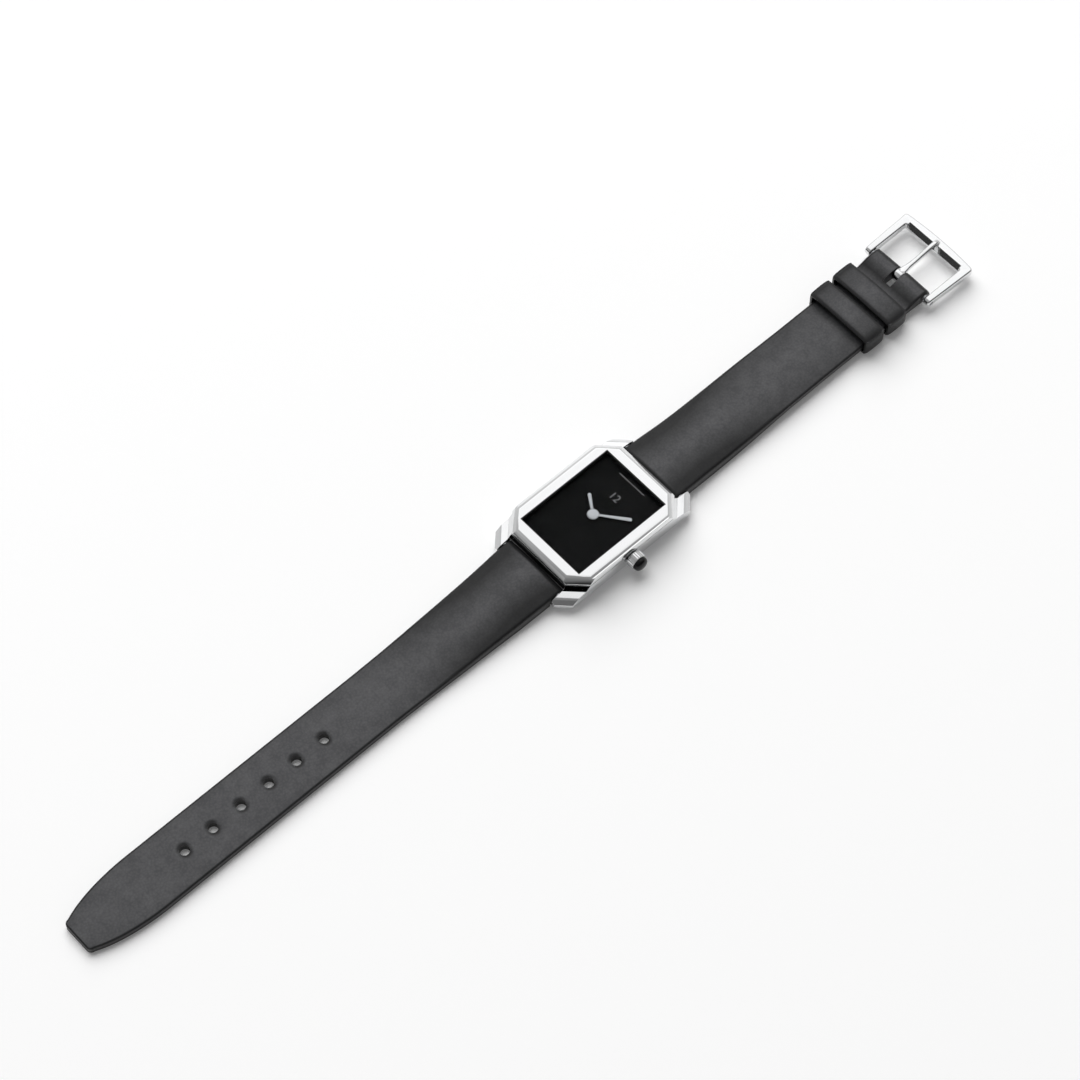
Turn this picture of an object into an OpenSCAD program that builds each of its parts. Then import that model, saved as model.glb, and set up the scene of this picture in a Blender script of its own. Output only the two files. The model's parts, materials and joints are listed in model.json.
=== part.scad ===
// Rectangular quartz wristwatch with a two-piece leather strap and a pin buckle, lying open and flat.
// Units are millimetres. +Y points to 12 o'clock, +X to 3 o'clock and +Z out of the crystal.
// The origin is the centre of the case back's outer face.

/* [Case] */
// Width of the case across 9 and 3 o'clock
case_w = 21.4; // [21.2:0.1:22.4]
// Length of each lug beyond its strap recess
lug_l = 3.55; // [3.4:0.05:4.2]
// Size of the cut across each corner of the case
lug_cut = 2.5; // [2.0:0.1:3.0]
// Gap between the two lugs of a pair
lug_gap = 15.0; // [14.9:0.1:15.4]
// Length of the case between the two strap recesses
case_core_l = 27.9; // [27.5:0.1:28.6]
// Height of the case's shoulder below the bezel
shoulder_z = 4.3; // [4.25:0.05:4.4]
// Height of the bezel's seat on the case
seat_z = 4.7; // [4.6:0.05:4.8]
// How far the neck under the bezel is set in
neck_inset = 0.35; // [0.2:0.05:0.6]
// Bevel along the lower edge of the case
case_bevel = 0.3; // [0.1:0.05:0.5]

/* [Bezel and crystal] */
// How far the bezel stands out past the case's sides
bezel_side_over = 0.1; // [0:0.05:0.3]
// How far the bezel stands out past the strap recesses' end walls
bezel_end_over = 0.05; // [0:0.05:0.2]
// Size of the cut across each corner of the bezel
bezel_cut = 3.4; // [3.0:0.1:3.8]
// Opening across the dial
opening_w = 16.1; // [15.7:0.1:16.3]
// Opening along the dial
opening_l = 22.2; // [21.6:0.1:22.4]
// Height of the bezel's flat top above its seat
bezel_rise = 1.25; // [1.15:0.05:1.5]
// Width of the sloped outer facet of the bezel
facet_w = 0.9; // [0.5:0.1:1.2]
// Drop of the sloped outer facet at the strap ends
facet_drop = 0.75; // [0.4:0.05:0.9]
// Width of the sloped facet at each cut corner
corner_facet_w = 1.15; // [0.6:0.05:1.2]
// Wall of the bezel's rim that holds the dial down
rim_t = 0.25; // [0.2:0.05:0.35]
// Thickness of the crystal
crystal_t = 0.8; // [0.6:0.05:0.85]
// Wall of the crystal gasket
gasket_t = 0.2; // [0.1:0.05:0.3]

/* [Case back] */
// Thickness of the case back
back_t = 0.8; // [0.7:0.05:0.9]
// How far the case back is set in from the case sides
back_inset = 0.8; // [0.6:0.1:1.0]
// Wall of the case back gasket
back_gasket_t = 0.5; // [0.4:0.05:0.6]
// Thread diameter of the case back screws
back_screw_d = 1.0; // [0.8:0.1:1.1]
// Head diameter of the case back screws
back_head_d = 1.6; // [1.4:0.1:1.7]

/* [Dial and hands] */
// Height of the dial's underside
dial_z = 4.0; // [3.95:0.01:4.02]
// Thickness of the dial
dial_t = 0.4; // [0.3:0.05:0.42]
// Centre hole of the dial
dial_hole_d = 1.9; // [1.7:0.05:2.2]
// Length of the minute hand from its axis
minute_hand_l = 7.4; // [5:0.1:7.6]
// Length of the hour hand from its axis
hour_hand_l = 4.85; // [3.5:0.1:7]
// Diameter of the minute hand's hub
minute_hub_d = 2.4; // [1.8:0.1:3.2]
// Diameter of the hour hand's hub
hour_hub_d = 2.1; // [1.8:0.1:3.0]
// Clockwise angle of the minute hand from 12
minute_angle = 51.9; // [0:0.1:359]
// Clockwise angle of the hour hand from 12
hour_angle = 304.3; // [0:0.1:359]

/* [Crown] */
// Diameter of the crown
crown_d = 3.5; // [3.2:0.1:3.8]
// Length of the crown
crown_l = 1.7; // [1.5:0.1:2.4]
// Number of flutes round the crown
crown_flutes = 24; // [18:1:30]
// Diameter of the cabochon
cabochon_d = 3.0; // [2.4:0.1:3.0]
// How far the cabochon stands out of the crown
cabochon_h = 1.25; // [0.8:0.05:2.0]
// Travel of the crown when it is pulled out
crown_pull = 0.7; // [0.4:0.1:0.7]
// Gap between the case side and the crown
crown_gap = 0.25; // [0.2:0.05:0.4]
// Height of the stem's axis
stem_z = 3.0; // [2.98:0.01:3.02]
// Diameter of the stem
stem_d = 0.8; // [0.7:0.02:0.82]

/* [Movement] */
// Width of the movement
move_w = 14.6; // [14.4:0.1:15.0]
// Length of the movement
move_l = 17.2; // [17.0:0.1:18.4]
// Height of the main plate's underside
plate_z = 2.75; // [2.73:0.01:2.77]
// Height of the train bridge's upper face
bridge_top_z = 1.5; // [1.45:0.01:1.55]
// Thickness of the train bridge
bridge_t = 0.4; // [0.3:0.05:0.45]
// Diameter of the button cell
cell_d = 6.8; // [6.4:0.1:7.0]
// Thickness of the button cell
cell_t = 1.65; // [1.4:0.05:1.7]
// Module of the centre wheel and third pinion
centre_module = 0.14; // [0.135:0.001:0.142]
// Module of the third wheel and intermediate pinion
third_module = 0.12; // [0.116:0.001:0.122]
// Module of the intermediate wheel and rotor pinion
rotor_module = 0.10; // [0.098:0.001:0.102]
// Module of the wheels under the dial
motion_module = 0.12; // [0.118:0.001:0.121]
// Running clearance round arbors and pivots, on the radius
pivot_clear = 0.05; // [0.03:0.01:0.06]

/* [Strap] */
// Gap between the strap and each lug
strap_side_gap = 0.3; // [0.1:0.05:0.4]
// Width of the strap at the buckle
buckle_strap_w = 13.8; // [13.4:0.1:14.2]
// Width of the strap's tail
tail_w = 12.7; // [12.2:0.1:14.0]
// Thickness of the upper leather
upper_t = 1.0; // [0.8:0.05:1.1]
// Thickness of the lining leather
lining_t = 0.8; // [0.6:0.05:0.9]
// Distance from the watch's centre to the tail's tip
tail_y = 124.4; // [122:0.2:130]
// Length over which the tail narrows to its tip
tip_l = 16.4; // [12:0.2:18]
// Distance from the watch's centre to the first hole of the tail
first_hole_y = 66.8; // [62:0.1:68]
// Spacing of the holes
hole_pitch = 6.57; // [6:0.01:6.7]
// Diameter of the holes
hole_d = 2.0; // [1.6:0.1:2.4]
// Number of holes
hole_count = 6; // [4:1:7]

/* [Spring bars] */
// Distance from a strap recess's end wall to its spring bar
bar_gap = 1.65; // [1.6:0.05:1.9]
// Height of the straps' spring bars
bar_z = 2.2; // [2.15:0.05:2.3]
// Diameter of the straps' spring bars
bar_d = 1.5; // [1.3:0.1:1.6]
// Diameter of a spring bar's tip
bar_tip_d = 0.8; // [0.7:0.05:0.9]
// How deep a tip goes into a lug
bar_tip_in = 0.8; // [0.5:0.1:1.0]

/* [Buckle] */
// Distance from the watch's centre to the buckle's bar
buckle_bar_y = 81.8; // [81.6:0.1:82.4]
// Height of the buckle's bar
buckle_bar_z = 2.2; // [2.1:0.05:2.3]
// Diameter of the buckle's bar
buckle_bar_d = 1.4; // [1.2:0.1:1.5]
// Gap between the strap and each arm of the buckle
buckle_side_gap = 0.4; // [0.2:0.05:0.6]
// Width of each arm of the buckle at the bar
buckle_arm_w = 1.5; // [1.2:0.1:2.0]
// How far the arms flare outwards towards the end bar
buckle_flare = 0.4; // [0:0.1:0.8]
// Distance from the bar's axis to the inner edge of the end bar
buckle_in_l = 9.3; // [8:0.1:10]
// Width of the buckle's end bar
buckle_end_w = 2.0; // [1.8:0.1:3.0]
// Thickness of the buckle
buckle_t = 1.8; // [1.6:0.1:2.0]
// How far the end bar bows outwards in the middle
buckle_bow = 0.5; // [0.1:0.05:0.8]
// Radius of the buckle's outer corners
buckle_corner_r = 1.2; // [0.6:0.1:1.6]
// Width of the tongue
tongue_w = 1.7; // [1.3:0.1:1.8]
// Thickness of the tongue
tongue_t = 0.85; // [0.6:0.05:0.9]

/* [Keepers] */
// Length of each keeper along the strap
keeper_l = 5.0; // [4:0.1:5.2]
// Thickness of the keeper leather
keeper_t = 0.8; // [0.7:0.05:0.9]
// Gap between the strap's side and a keeper
keeper_side_gap = 0.3; // [0.25:0.05:0.6]
// Height inside a keeper
keeper_in_h = 3.4; // [3.2:0.1:4.0]
// Distance from the watch's centre to the near edge of the free keeper
free_keeper_y = 64.8; // [64.6:0.1:65.2]
// Distance from the watch's centre to the near edge of the fixed keeper
fixed_keeper_y = 70.9; // [70.6:0.1:71.2]

/* [Hidden] */
$fn = 48;
eps = 0.02;
through = 60;

// Outlines that follow from the case's width and length
lug_span = case_core_l + 2 * lug_l;
case_corner_d = ((case_w + lug_span) / 2 - lug_cut) / sqrt(2);
bezel_w = case_w + 2 * bezel_side_over;
bezel_l = case_core_l + 2 * bezel_end_over;
bezel_corner_d = ((bezel_w + bezel_l) / 2 - bezel_cut) / sqrt(2);

// Case back, cavity and dial seat
back_w = case_w - 2 * back_inset;
back_l = case_core_l - 2 * back_inset;
back_corner_cut = 1.2;
holder_wall = 0.6;
cavity_w = move_w + 2 * holder_wall;
cavity_end_wall = 3.05;
cavity_l = case_core_l - 2 * cavity_end_wall;
cavity_cut = 1.5;
spigot_h = 0.3;
spigot_wall = 0.6;
hollow_in = back_gasket_t + spigot_wall;
back_floor_t = 0.45;
back_gasket_h = 0.25;
back_screw_side = 2.2;
back_screw_end = 2.15;
back_screw_x = case_w / 2 - back_screw_side;
back_screw_y = case_core_l / 2 - back_screw_end;
back_screw_depth = 1.7;
back_head_h = 0.45;
back_slot_w = 0.3;
back_slot_depth = 0.2;
dial_w = opening_w + 2 * rim_t;
dial_l = opening_l + 2 * rim_t;
dial_top_z = dial_z + dial_t;
bezel_top_z = seat_z + bezel_rise;
crystal_bottom_z = bezel_top_z - crystal_t;
gasket_h = 0.7;

// Long sides of the bezel: a shallow slope above a wall that leans in a little
side_facet_drop = facet_drop / 5;
side_taper = facet_w / 5;

// Lug tops: three slopes, given by distance from the centre square to the cut corner and height
lug_from_gap = -0.1;
lug_edge_in = 0.95;
lug_steep_w = 0.75;
lug_from_d = bezel_corner_d + lug_from_gap;
lug_edge_d = case_corner_d - lug_edge_in;
lug_steep_z = 3.3;
lug_edge_z = 3.0;
lug_end_z = 2.1;
lug_slope = [
    [lug_from_d, shoulder_z + eps], [lug_from_d + lug_steep_w, lug_steep_z], [lug_edge_d, lug_edge_z],
    [case_corner_d + eps, lug_end_z]
];

// Movement positions, seen from the dial
third_pos = polar(150, (30 + 12) * centre_module / 2);
inter_pos = third_pos + polar(60, (30 + 10) * third_module / 2);
rotor_pos = inter_pos + polar(60, (32 + 8) * rotor_module / 2);
minute_pos = [(30 + 10) * motion_module / 2, 0];
bridge_pillars = [[-4.6, -0.3], [2.6, 3.3], [-4.6, 3.2]];
pillar_r = 0.5;
cell_side = 0.4;
cell_end = 0.3;
cell_pos = [(cell_d - move_w) / 2 + cell_side, (cell_d - move_l) / 2 + cell_end];
clamp_pillar = [1.0, -3.4];
dial_feet = [[-6.0, 5.8], [5.9, -6.4]];
dial_foot_r = 0.35;
dial_foot_l = 0.9;
move_corner_cut = 2.0;
holder_z = 1.3;
pivot_r = 0.15;

// Movement heights
centre_wheel_z = [2.45, 2.65];
third_pinion_z = [2.35, 2.70];
third_wheel_z = [2.00, 2.12];
inter_pinion_z = [1.93, 2.15];
inter_wheel_z = [1.68, 1.80];
rotor_pinion_z = [1.62, 1.86];
magnet_z = [2.05, 2.60];
magnet_r = 0.7;
stator_z = [2.2, 2.5];
stator_y = [4.15, 6.4];
stator_x = 6.0;
stator_arm_w = 1.4;
stator_arm_y = 7.8;
stator_hole_r = 0.95;
coil_y = 7.35;
coil_r = 0.65;
coil_screw_x = 5.3;
core_h = 0.3;
core_w = 0.9;
recess_z = 3.15;
cannon_teeth_z = [3.20, 3.46];
minute_wheel_z = [3.30, 3.44];
minute_pinion_z = [3.44, 3.78];
hour_wheel_z = [3.52, 3.72];
hour_pipe_top = 4.62;
cannon_top = 4.88;
hour_hand_z = [4.50, 4.62];
minute_hand_z = [4.74, 4.86];
hub_dome_h = 0.18;
arbor_r = 0.3;
cannon_r = 0.45;
hour_pipe_r = 0.75;
screw_head_h = 0.25;
screw_head_r = 0.45;
clamp_z = [plate_z - cell_t - 0.15, plate_z - cell_t];
clamp_w = 1.3;

// Keyless works
stem_square = 0.36;
stem_in_x = 3.9;
stem_shoulder_x = 5.55;
groove_x = [5.75, 6.15];
groove_r = 0.22;
stem_wall_t = 0.3;
stem_wall_x = move_w / 2 - stem_wall_t;
pinion_x = [4.6, 5.4];
pinion_r = 0.72;
pinion_groove_w = 0.4;
pinion_groove_r = 0.45;
pinion_inward = 0.24;
lever_pivot = [(groove_x[0] + groove_x[1] + crown_pull) / 2, 1.9];
lever_nose = [(groove_x[0] + groove_x[1]) / 2, 0];
lever_z = [3.46, 3.64];
lever_nose_z = stem_z + groove_r + 0.04;
lever_nose_r = 0.14;
yoke_pivot = [(pinion_x[0] + pinion_x[1] - pinion_inward) / 2, -2.2];
yoke_nose = [(pinion_x[0] + pinion_x[1]) / 2, 0];
yoke_z = [3.5, 3.66];
yoke_nose_r = 0.15;
yoke_finger_w = 0.2;
yoke_finger_l = 1.3;
lever_w = 0.5;
lever_pocket_z = 3.43;
small_screw_r = 0.25;

// Crown
crown_x = case_w / 2 + crown_gap;
tube_r = 0.78;
crown_recess_r = tube_r + 0.37;
stem_in_crown = 0.3;
crown_floor = 0.05;
cabochon_seat = 0.25;
crown_recess_l = crown_l - cabochon_seat - crown_floor - stem_in_crown;
tube_end_gap = 0.1;
tube_out_x = crown_x + crown_recess_l - tube_end_gap;
tube_in_x = cavity_w / 2 + 0.1;
tube_bore_r = stem_d / 2 + pivot_clear;
crown_gasket_x = [crown_x + 0.1, crown_x + 0.4];
crown_edge = 0.15;
flute_r = 0.16;
cabochon_rim = 0.25;

// Strap profiles as distance from the centre and height, at distances out from the spring bar
crest_out = 4.4;
touch_out = 8.9;
swell_out = 11.4;
lift_out = 14.4;
thin_out = 20.4;
lifted_out = 29.4;
flat_out = 32.4;
taper_out = 40.4;
bar_y = case_core_l / 2 + bar_gap;
strap_w = lug_gap - 2 * strap_side_gap;
end_gap = 0.1;
strap_end_r = bar_gap - end_gap;
loop_wall = 0.8;
loop_r = buckle_bar_d / 2 + loop_wall;
keeper_clear = 0.2;
keeper_corner_r = 1.3;
ground_lift = keeper_t + keeper_clear;
keeper_in_w = buckle_strap_w + 2 * keeper_side_gap;
keeper_top_z = 2 * keeper_t + keeper_in_h;
tail_t = upper_t + lining_t;
bar_clear = 0.05;
over_tip = 1;
crest_y = bar_y + crest_out;
crest_z = 3.45;
swell_y = bar_y + swell_out;
swell_z_12 = 3.0;
swell_z_6 = 2.9;
thin_y = bar_y + thin_out;
thin_z_6 = 2.4;
flat_from = bar_y + flat_out;
touch_y = bar_y + touch_out;
lift_from = bar_y + lift_out;
lift_to = bar_y + lifted_out;
top_12 = [
    [crest_y, crest_z], [swell_y, swell_z_12], [thin_y, ground_lift + tail_t], [lift_to, ground_lift + tail_t]
];
bottom_12 = [[touch_y, 0], [lift_from, 0], [lift_to, ground_lift]];
top_6 = [
    [crest_y, crest_z], [swell_y, swell_z_6], [thin_y, thin_z_6], [flat_from, tail_t],
    [tail_y + over_tip, tail_t]
];
bottom_6 = [[touch_y, 0], [flat_from, 0], [tail_y + over_tip, 0]];

// Angles at which the layers meet the strap's round end and the loop round the buckle's bar
top_join = 17;
low_join = -29;
under_join = -75;
loop_under_join = 255;
loop_mid_join = 180 - asin((ground_lift + lining_t - buckle_bar_z) / loop_r);
loop_top_join = 180 - asin(min(1, (ground_lift + tail_t - buckle_bar_z) / loop_r));

tip_from = tail_y - tip_l;
tip_reach = tip_l * 1.165;
tip_round = 1.0;
slot_from = buckle_bar_y - 3.6;
slot_w = tongue_w + 0.3;

// Buckle
tongue_ring_wall = 0.65;
tongue_ring_r = buckle_bar_d / 2 + tongue_ring_wall;
buckle_in_w = buckle_strap_w + 2 * buckle_side_gap;
buckle_low_z = buckle_bar_z - 0.85;
buckle_high_z = buckle_low_z + buckle_t;
buckle_bevel = 0.35;
buckle_end_bevel = 0.6;
buckle_arm_back = 1.1;
tongue_tip_y = buckle_bar_y + buckle_in_l + 1.7;
tongue_lift = 0.02;
tongue_dip = 4.2;
tongue_rise = 0.8;

// A point at an angle and a distance from the origin
function polar(a, d) = [d * cos(a), d * sin(a)];

// Turn of the gear that meshes with a gear of n1 teeth turned by t1, across the line of centres at angle a
function mesh_turn(a, n1, t1, n2) = a + 180 + 180 / n2 - (t1 - a) * n1 / n2;

// The tooth outline of a gear
function gear_points(n, m) = [
    for (k = [0 : n - 1], c = [[-0.33, -1.2], [-0.12, 0.9], [0.12, 0.9], [0.33, -1.2]])
        polar((k + c[0]) * 360 / n, m * (n / 2 + c[1]))
];

// A rectangle with its corners cut by the same amount
function cut_points(w, l, cut) = [
    [w / 2, l / 2 - cut], [w / 2 - cut, l / 2], [cut - w / 2, l / 2], [-w / 2, l / 2 - cut],
    [-w / 2, cut - l / 2], [cut - w / 2, -l / 2], [w / 2 - cut, -l / 2], [w / 2, cut - l / 2]
];

// A rectangle from the origin with round corners, each drawn with a few straight steps
function round_points(w, h, r, steps = 6) = [
    for (c = [[w - r, h - r, 0], [r, h - r, 90], [r, r, 180], [w - r, r, 270]], k = [0 : steps])
        [c[0], c[1]] + polar(c[2] + 90 * k / steps, r)
];

// The corner cut of a rectangle that brings its corner to a stated distance from the centre
function corner_cut(w, l, d) = (w + l) / 2 - d * sqrt(2);

// Points moved up or down
function lifted(points, dz) = [for (p = points) [p[0], p[1] + dz]];

// A list in reverse order
function backwards(points) = [for (k = [len(points) - 1 : -1 : 0]) points[k]];

// Points along an arc in equal steps
function arc(c, r, a0, a1, steps = 24) = [for (k = [0 : steps]) c + polar(a0 + (a1 - a0) * k / steps, r)];

// Turns of the wheels, worked outwards from the centre wheel
third_turn = mesh_turn(150, 30, 0, 12);
inter_turn = mesh_turn(60, 30, third_turn, 10);
rotor_turn = mesh_turn(60, 32, inter_turn, 8);
cannon_turn = 18;
minute_turn = mesh_turn(0, 10, cannon_turn, 30);
hour_turn = mesh_turn(180, 8, minute_turn, 32);

// A plate between two heights
module slab(z) {
    translate([0, 0, z[0]]) linear_extrude(z[1] - z[0]) children();
}

// A cylinder along X between two places, at the stem's height
module stem_rod(x, r) {
    translate([x[0], 0, stem_z]) rotate([0, 90, 0]) cylinder(r = r, h = x[1] - x[0]);
}

// A shape drawn in distance from the centre and height, drawn out across the strap
module across(w) {
    translate([-w / 2, 0, 0]) rotate([90, 0, 90]) linear_extrude(w) children();
}

// A gear between two heights
module gear(n, m, z, turn) {
    slab(z) rotate(turn) polygon(gear_points(n, m));
}

// A slotted screw whose head lies at the lower end
module screw(thread_r, head_r, z_head, z_tip) {
    difference() {
        union() {
            translate([0, 0, z_head]) cylinder(r = head_r, h = screw_head_h);
            translate([0, 0, z_head]) cylinder(r = thread_r, h = z_tip - z_head);
        }
        translate([-head_r, -head_r / 6, z_head - eps]) cube([2 * head_r, head_r / 3, 0.12]);
    }
}

// Case

module case_outline() {
    polygon(cut_points(case_w, lug_span, corner_cut(case_w, lug_span, case_corner_d)));
}

module bezel_outline(inset = 0) {
    w = bezel_w - 2 * inset;
    l = bezel_l - 2 * inset;
    polygon(cut_points(w, l, corner_cut(w, l, bezel_corner_d - inset)));
}

module four_corners() {
    for (sx = [0, 1], sy = [0, 1]) mirror([sx, 0, 0]) mirror([0, sy, 0]) children();
}

// What is cut from above a lug, drawn as a profile square to the cut corner
module lug_top_cut() {
    rotate([0, 0, 45]) translate([0, through / 2, 0]) rotate([90, 0, 0]) linear_extrude(through)
        polygon(concat(lug_slope, [[through, lug_end_z], [through, through], [lug_from_d, through]]));
}

module case_bevels() {
    for (side = [0, 1]) {
        mirror([side, 0, 0]) translate([case_w / 2, 0, back_t]) rotate([0, 45, 0])
            cube([case_bevel * sqrt(2), through, case_bevel * sqrt(2)], center = true);
        mirror([0, side, 0]) translate([0, lug_span / 2, back_t]) rotate([45, 0, 0])
            cube([through, case_bevel * sqrt(2), case_bevel * sqrt(2)], center = true);
    }
    four_corners() rotate([0, 0, 45]) translate([case_corner_d, 0, back_t]) rotate([0, 45, 0])
        cube([case_bevel * sqrt(2), through, case_bevel * sqrt(2)], center = true);
}

module case_body() {
    color("#c9cbcd") difference() {
        union() {
            slab([back_t, shoulder_z]) case_outline();
            slab([shoulder_z - eps, seat_z]) intersection() {
                bezel_outline(neck_inset);
                square([case_w, case_core_l], center = true);
            }
        }
        four_corners() lug_top_cut();
        for (side = [0, 1]) mirror([0, side, 0])
            translate([-lug_gap / 2, case_core_l / 2, -eps]) cube([lug_gap, through, through]);
        slab([-eps, through]) polygon(cut_points(cavity_w, cavity_l, cavity_cut));
        slab([dial_z, through]) square([dial_w, dial_l], center = true);
        stem_rod([0, through], tube_r);
        four_corners() translate([back_screw_x, back_screw_y, 0])
            cylinder(d = back_screw_d, h = back_t + back_screw_depth);
        for (side = [0, 1]) mirror([0, side, 0]) translate([0, bar_y, bar_z]) rotate([0, 90, 0])
            cylinder(r = bar_tip_d / 2 + bar_clear, h = lug_gap + 2 * bar_tip_in + 0.2, center = true);
        case_bevels();
    }
}

module crown_tube() {
    color("#b9bcc0") difference() {
        stem_rod([tube_in_x, tube_out_x], tube_r);
        stem_rod([0, through], tube_bore_r);
    }
}

// The bezel's outer faces, one pair at a time, as a profile square to each pair
module bezel_pair(half, w, drop, taper = 0) {
    translate([0, through / 2, 0]) rotate([90, 0, 0]) linear_extrude(through) polygon([
        [-half, -eps], [half, -eps], [half - taper, bezel_rise - drop], [half - w, bezel_rise],
        [w - half, bezel_rise], [taper - half, bezel_rise - drop]
    ]);
}

module bezel() {
    color("#e6e7e8") {
        difference() {
            translate([0, 0, seat_z]) intersection() {
                bezel_pair(bezel_w / 2, facet_w, side_facet_drop, side_taper);
                rotate(90) bezel_pair(bezel_l / 2, facet_w, facet_drop);
                rotate(45) bezel_pair(bezel_corner_d, corner_facet_w, bezel_rise - 0.2);
                rotate(-45) bezel_pair(bezel_corner_d, corner_facet_w, bezel_rise - 0.2);
                translate([-through / 2, -through / 2, 0]) cube(through);
            }
            slab([0, through]) square([opening_w, opening_l], center = true);
        }
        slab([dial_top_z, seat_z + eps]) difference() {
            square([dial_w, dial_l], center = true);
            square([opening_w, opening_l], center = true);
        }
    }
}

module crystal_gasket() {
    color("#141414") slab([crystal_bottom_z, crystal_bottom_z + gasket_h]) difference() {
        square([opening_w, opening_l], center = true);
        square([opening_w - 2 * gasket_t, opening_l - 2 * gasket_t], center = true);
    }
}

module crystal() {
    color("#dfe8ee") slab([crystal_bottom_z, bezel_top_z])
        square([opening_w - 2 * gasket_t, opening_l - 2 * gasket_t], center = true);
}

module dial() {
    color("#0c0c0d") {
        difference() {
            slab([dial_z, dial_top_z]) square([dial_w, dial_l], center = true);
            cylinder(d = dial_hole_d, h = through);
        }
        for (p = dial_feet) translate([p[0], p[1], dial_z - dial_foot_l])
            cylinder(r = dial_foot_r, h = dial_foot_l + eps);
    }
}

module case_back() {
    color("#bfc2c5") difference() {
        union() {
            slab([0, back_t]) polygon(cut_points(back_w, back_l, back_corner_cut));
            slab([back_t - eps, back_t + spigot_h]) polygon(cut_points(
                cavity_w - 2 * back_gasket_t, cavity_l - 2 * back_gasket_t, cavity_cut));
        }
        slab([back_floor_t, through])
            polygon(cut_points(cavity_w - 2 * hollow_in, cavity_l - 2 * hollow_in, cavity_cut));
        four_corners() translate([back_screw_x, back_screw_y, -eps]) {
            cylinder(d = back_screw_d + 0.1, h = through);
            cylinder(d = back_head_d + 0.1, h = back_head_h + eps);
        }
    }
}

module case_back_gasket() {
    color("#1a1a1a") slab([back_t, back_t + back_gasket_h]) difference() {
        polygon(cut_points(cavity_w, cavity_l, cavity_cut));
        polygon(cut_points(cavity_w - 2 * back_gasket_t, cavity_l - 2 * back_gasket_t, cavity_cut));
    }
}

module case_back_screws() {
    color("#a8abae") four_corners() translate([back_screw_x, back_screw_y, 0]) difference() {
        union() {
            translate([0, 0, 0.05]) cylinder(d = back_head_d, h = back_head_h - 0.05);
            translate([0, 0, back_head_h - eps])
                cylinder(d = back_screw_d, h = back_t + back_screw_depth - back_head_h - 0.1);
        }
        translate([-back_head_d / 2, -back_slot_w / 2, -eps])
            cube([back_head_d, back_slot_w, back_slot_depth]);
    }
}

// Movement

module movement_outline() {
    polygon(cut_points(move_w, move_l, move_corner_cut));
}

module movement_holder() {
    color("#2b2b2d") difference() {
        slab([holder_z, dial_z]) polygon(cut_points(cavity_w, cavity_l, cavity_cut));
        slab([0, through]) movement_outline();
        stem_rod([0, through], tube_bore_r + 0.15);
    }
}

module main_plate() {
    color("#c7a86a") main_plate_body();
}

// Post that the minute wheel turns on
module plate_post() {
    translate([minute_pos[0], minute_pos[1], recess_z])
        cylinder(r = small_screw_r, h = minute_pinion_z[1] - recess_z + 0.05);
}

module main_plate_body() {
    difference() {
        union() {
            slab([plate_z, dial_z]) movement_outline();
            for (p = bridge_pillars) translate([p[0], p[1], bridge_top_z])
                cylinder(r = pillar_r, h = plate_z - bridge_top_z + eps);
            translate([clamp_pillar[0], clamp_pillar[1], plate_z - cell_t])
                cylinder(r = pillar_r, h = cell_t + eps);
            translate([stem_wall_x, -1.1, stem_z - 0.7]) cube([move_w / 2 - stem_wall_x, 2.2, 0.7]);
        }
        // Recess for the wheels under the dial, round the minute wheel's post
        difference() {
            slab([recess_z, through]) {
                circle(r = 32 * motion_module / 2 + 0.45);
                translate(minute_pos) circle(r = 30 * motion_module / 2 + 0.35);
            }
            plate_post();
        }
        // Slot for the stem and its sliding pinion
        translate([stem_in_x - 0.2, -1.0, 0]) cube([stem_wall_x - stem_in_x + 0.2, 2.0, through]);
        stem_rod([stem_in_x, through], tube_bore_r);
        // Pockets for the setting lever and the yoke
        translate([5.45, -1.0, lever_pocket_z]) cube([stem_wall_x - 5.45, 3.6, through]);
        translate([3.6, -2.9, lever_pocket_z]) cube([2.6, 2.9, through]);
        // Holes for arbors, feet and screws
        cylinder(r = arbor_r + pivot_clear, h = through);
        for (p = [third_pos, inter_pos, rotor_pos]) translate([p[0], p[1], plate_z - eps])
            cylinder(r = pivot_r + pivot_clear, h = 0.3);
        for (p = dial_feet) translate([p[0], p[1], plate_z - eps]) cylinder(r = dial_foot_r, h = through);
        for (p = bridge_pillars) translate([p[0], p[1], 0]) cylinder(r = small_screw_r, h = plate_z);
        translate([clamp_pillar[0], clamp_pillar[1], 0]) cylinder(r = small_screw_r, h = plate_z);
        for (side = [-1, 1]) translate([side * coil_screw_x, coil_y, 0])
            cylinder(r = small_screw_r, h = plate_z + 0.4);
        for (p = [lever_pivot, yoke_pivot]) translate([p[0], p[1], plate_z + 0.2])
            cylinder(r = small_screw_r, h = through);
    }
}

module train_bridge() {
    color("#cbb079") difference() {
        slab([bridge_top_z - bridge_t, bridge_top_z]) polygon([
            [-5.3, -1.0], [0.9, -1.0], [3.3, 2.7], [3.3, 4.0], [0.6, 6.3], [-1.6, 6.3], [-5.3, 4.0]
        ]);
        for (p = [[0, 0], third_pos, inter_pos, rotor_pos]) translate([p[0], p[1], bridge_top_z - 0.25])
            cylinder(r = pivot_r + pivot_clear, h = through);
        for (p = bridge_pillars) translate([p[0], p[1], 0]) cylinder(r = small_screw_r, h = through);
    }
}

module train_bridge_screws() {
    color("#9fa3a8") for (p = bridge_pillars) translate([p[0], p[1], 0])
        screw(small_screw_r, screw_head_r, bridge_top_z - bridge_t - screw_head_h, plate_z - 0.1);
}

module battery() {
    color("#b8bbbf") translate([cell_pos[0], cell_pos[1], plate_z - cell_t]) {
        cylinder(d = cell_d, h = cell_t - 0.25);
        cylinder(d = cell_d - 1.2, h = cell_t);
    }
}

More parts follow.
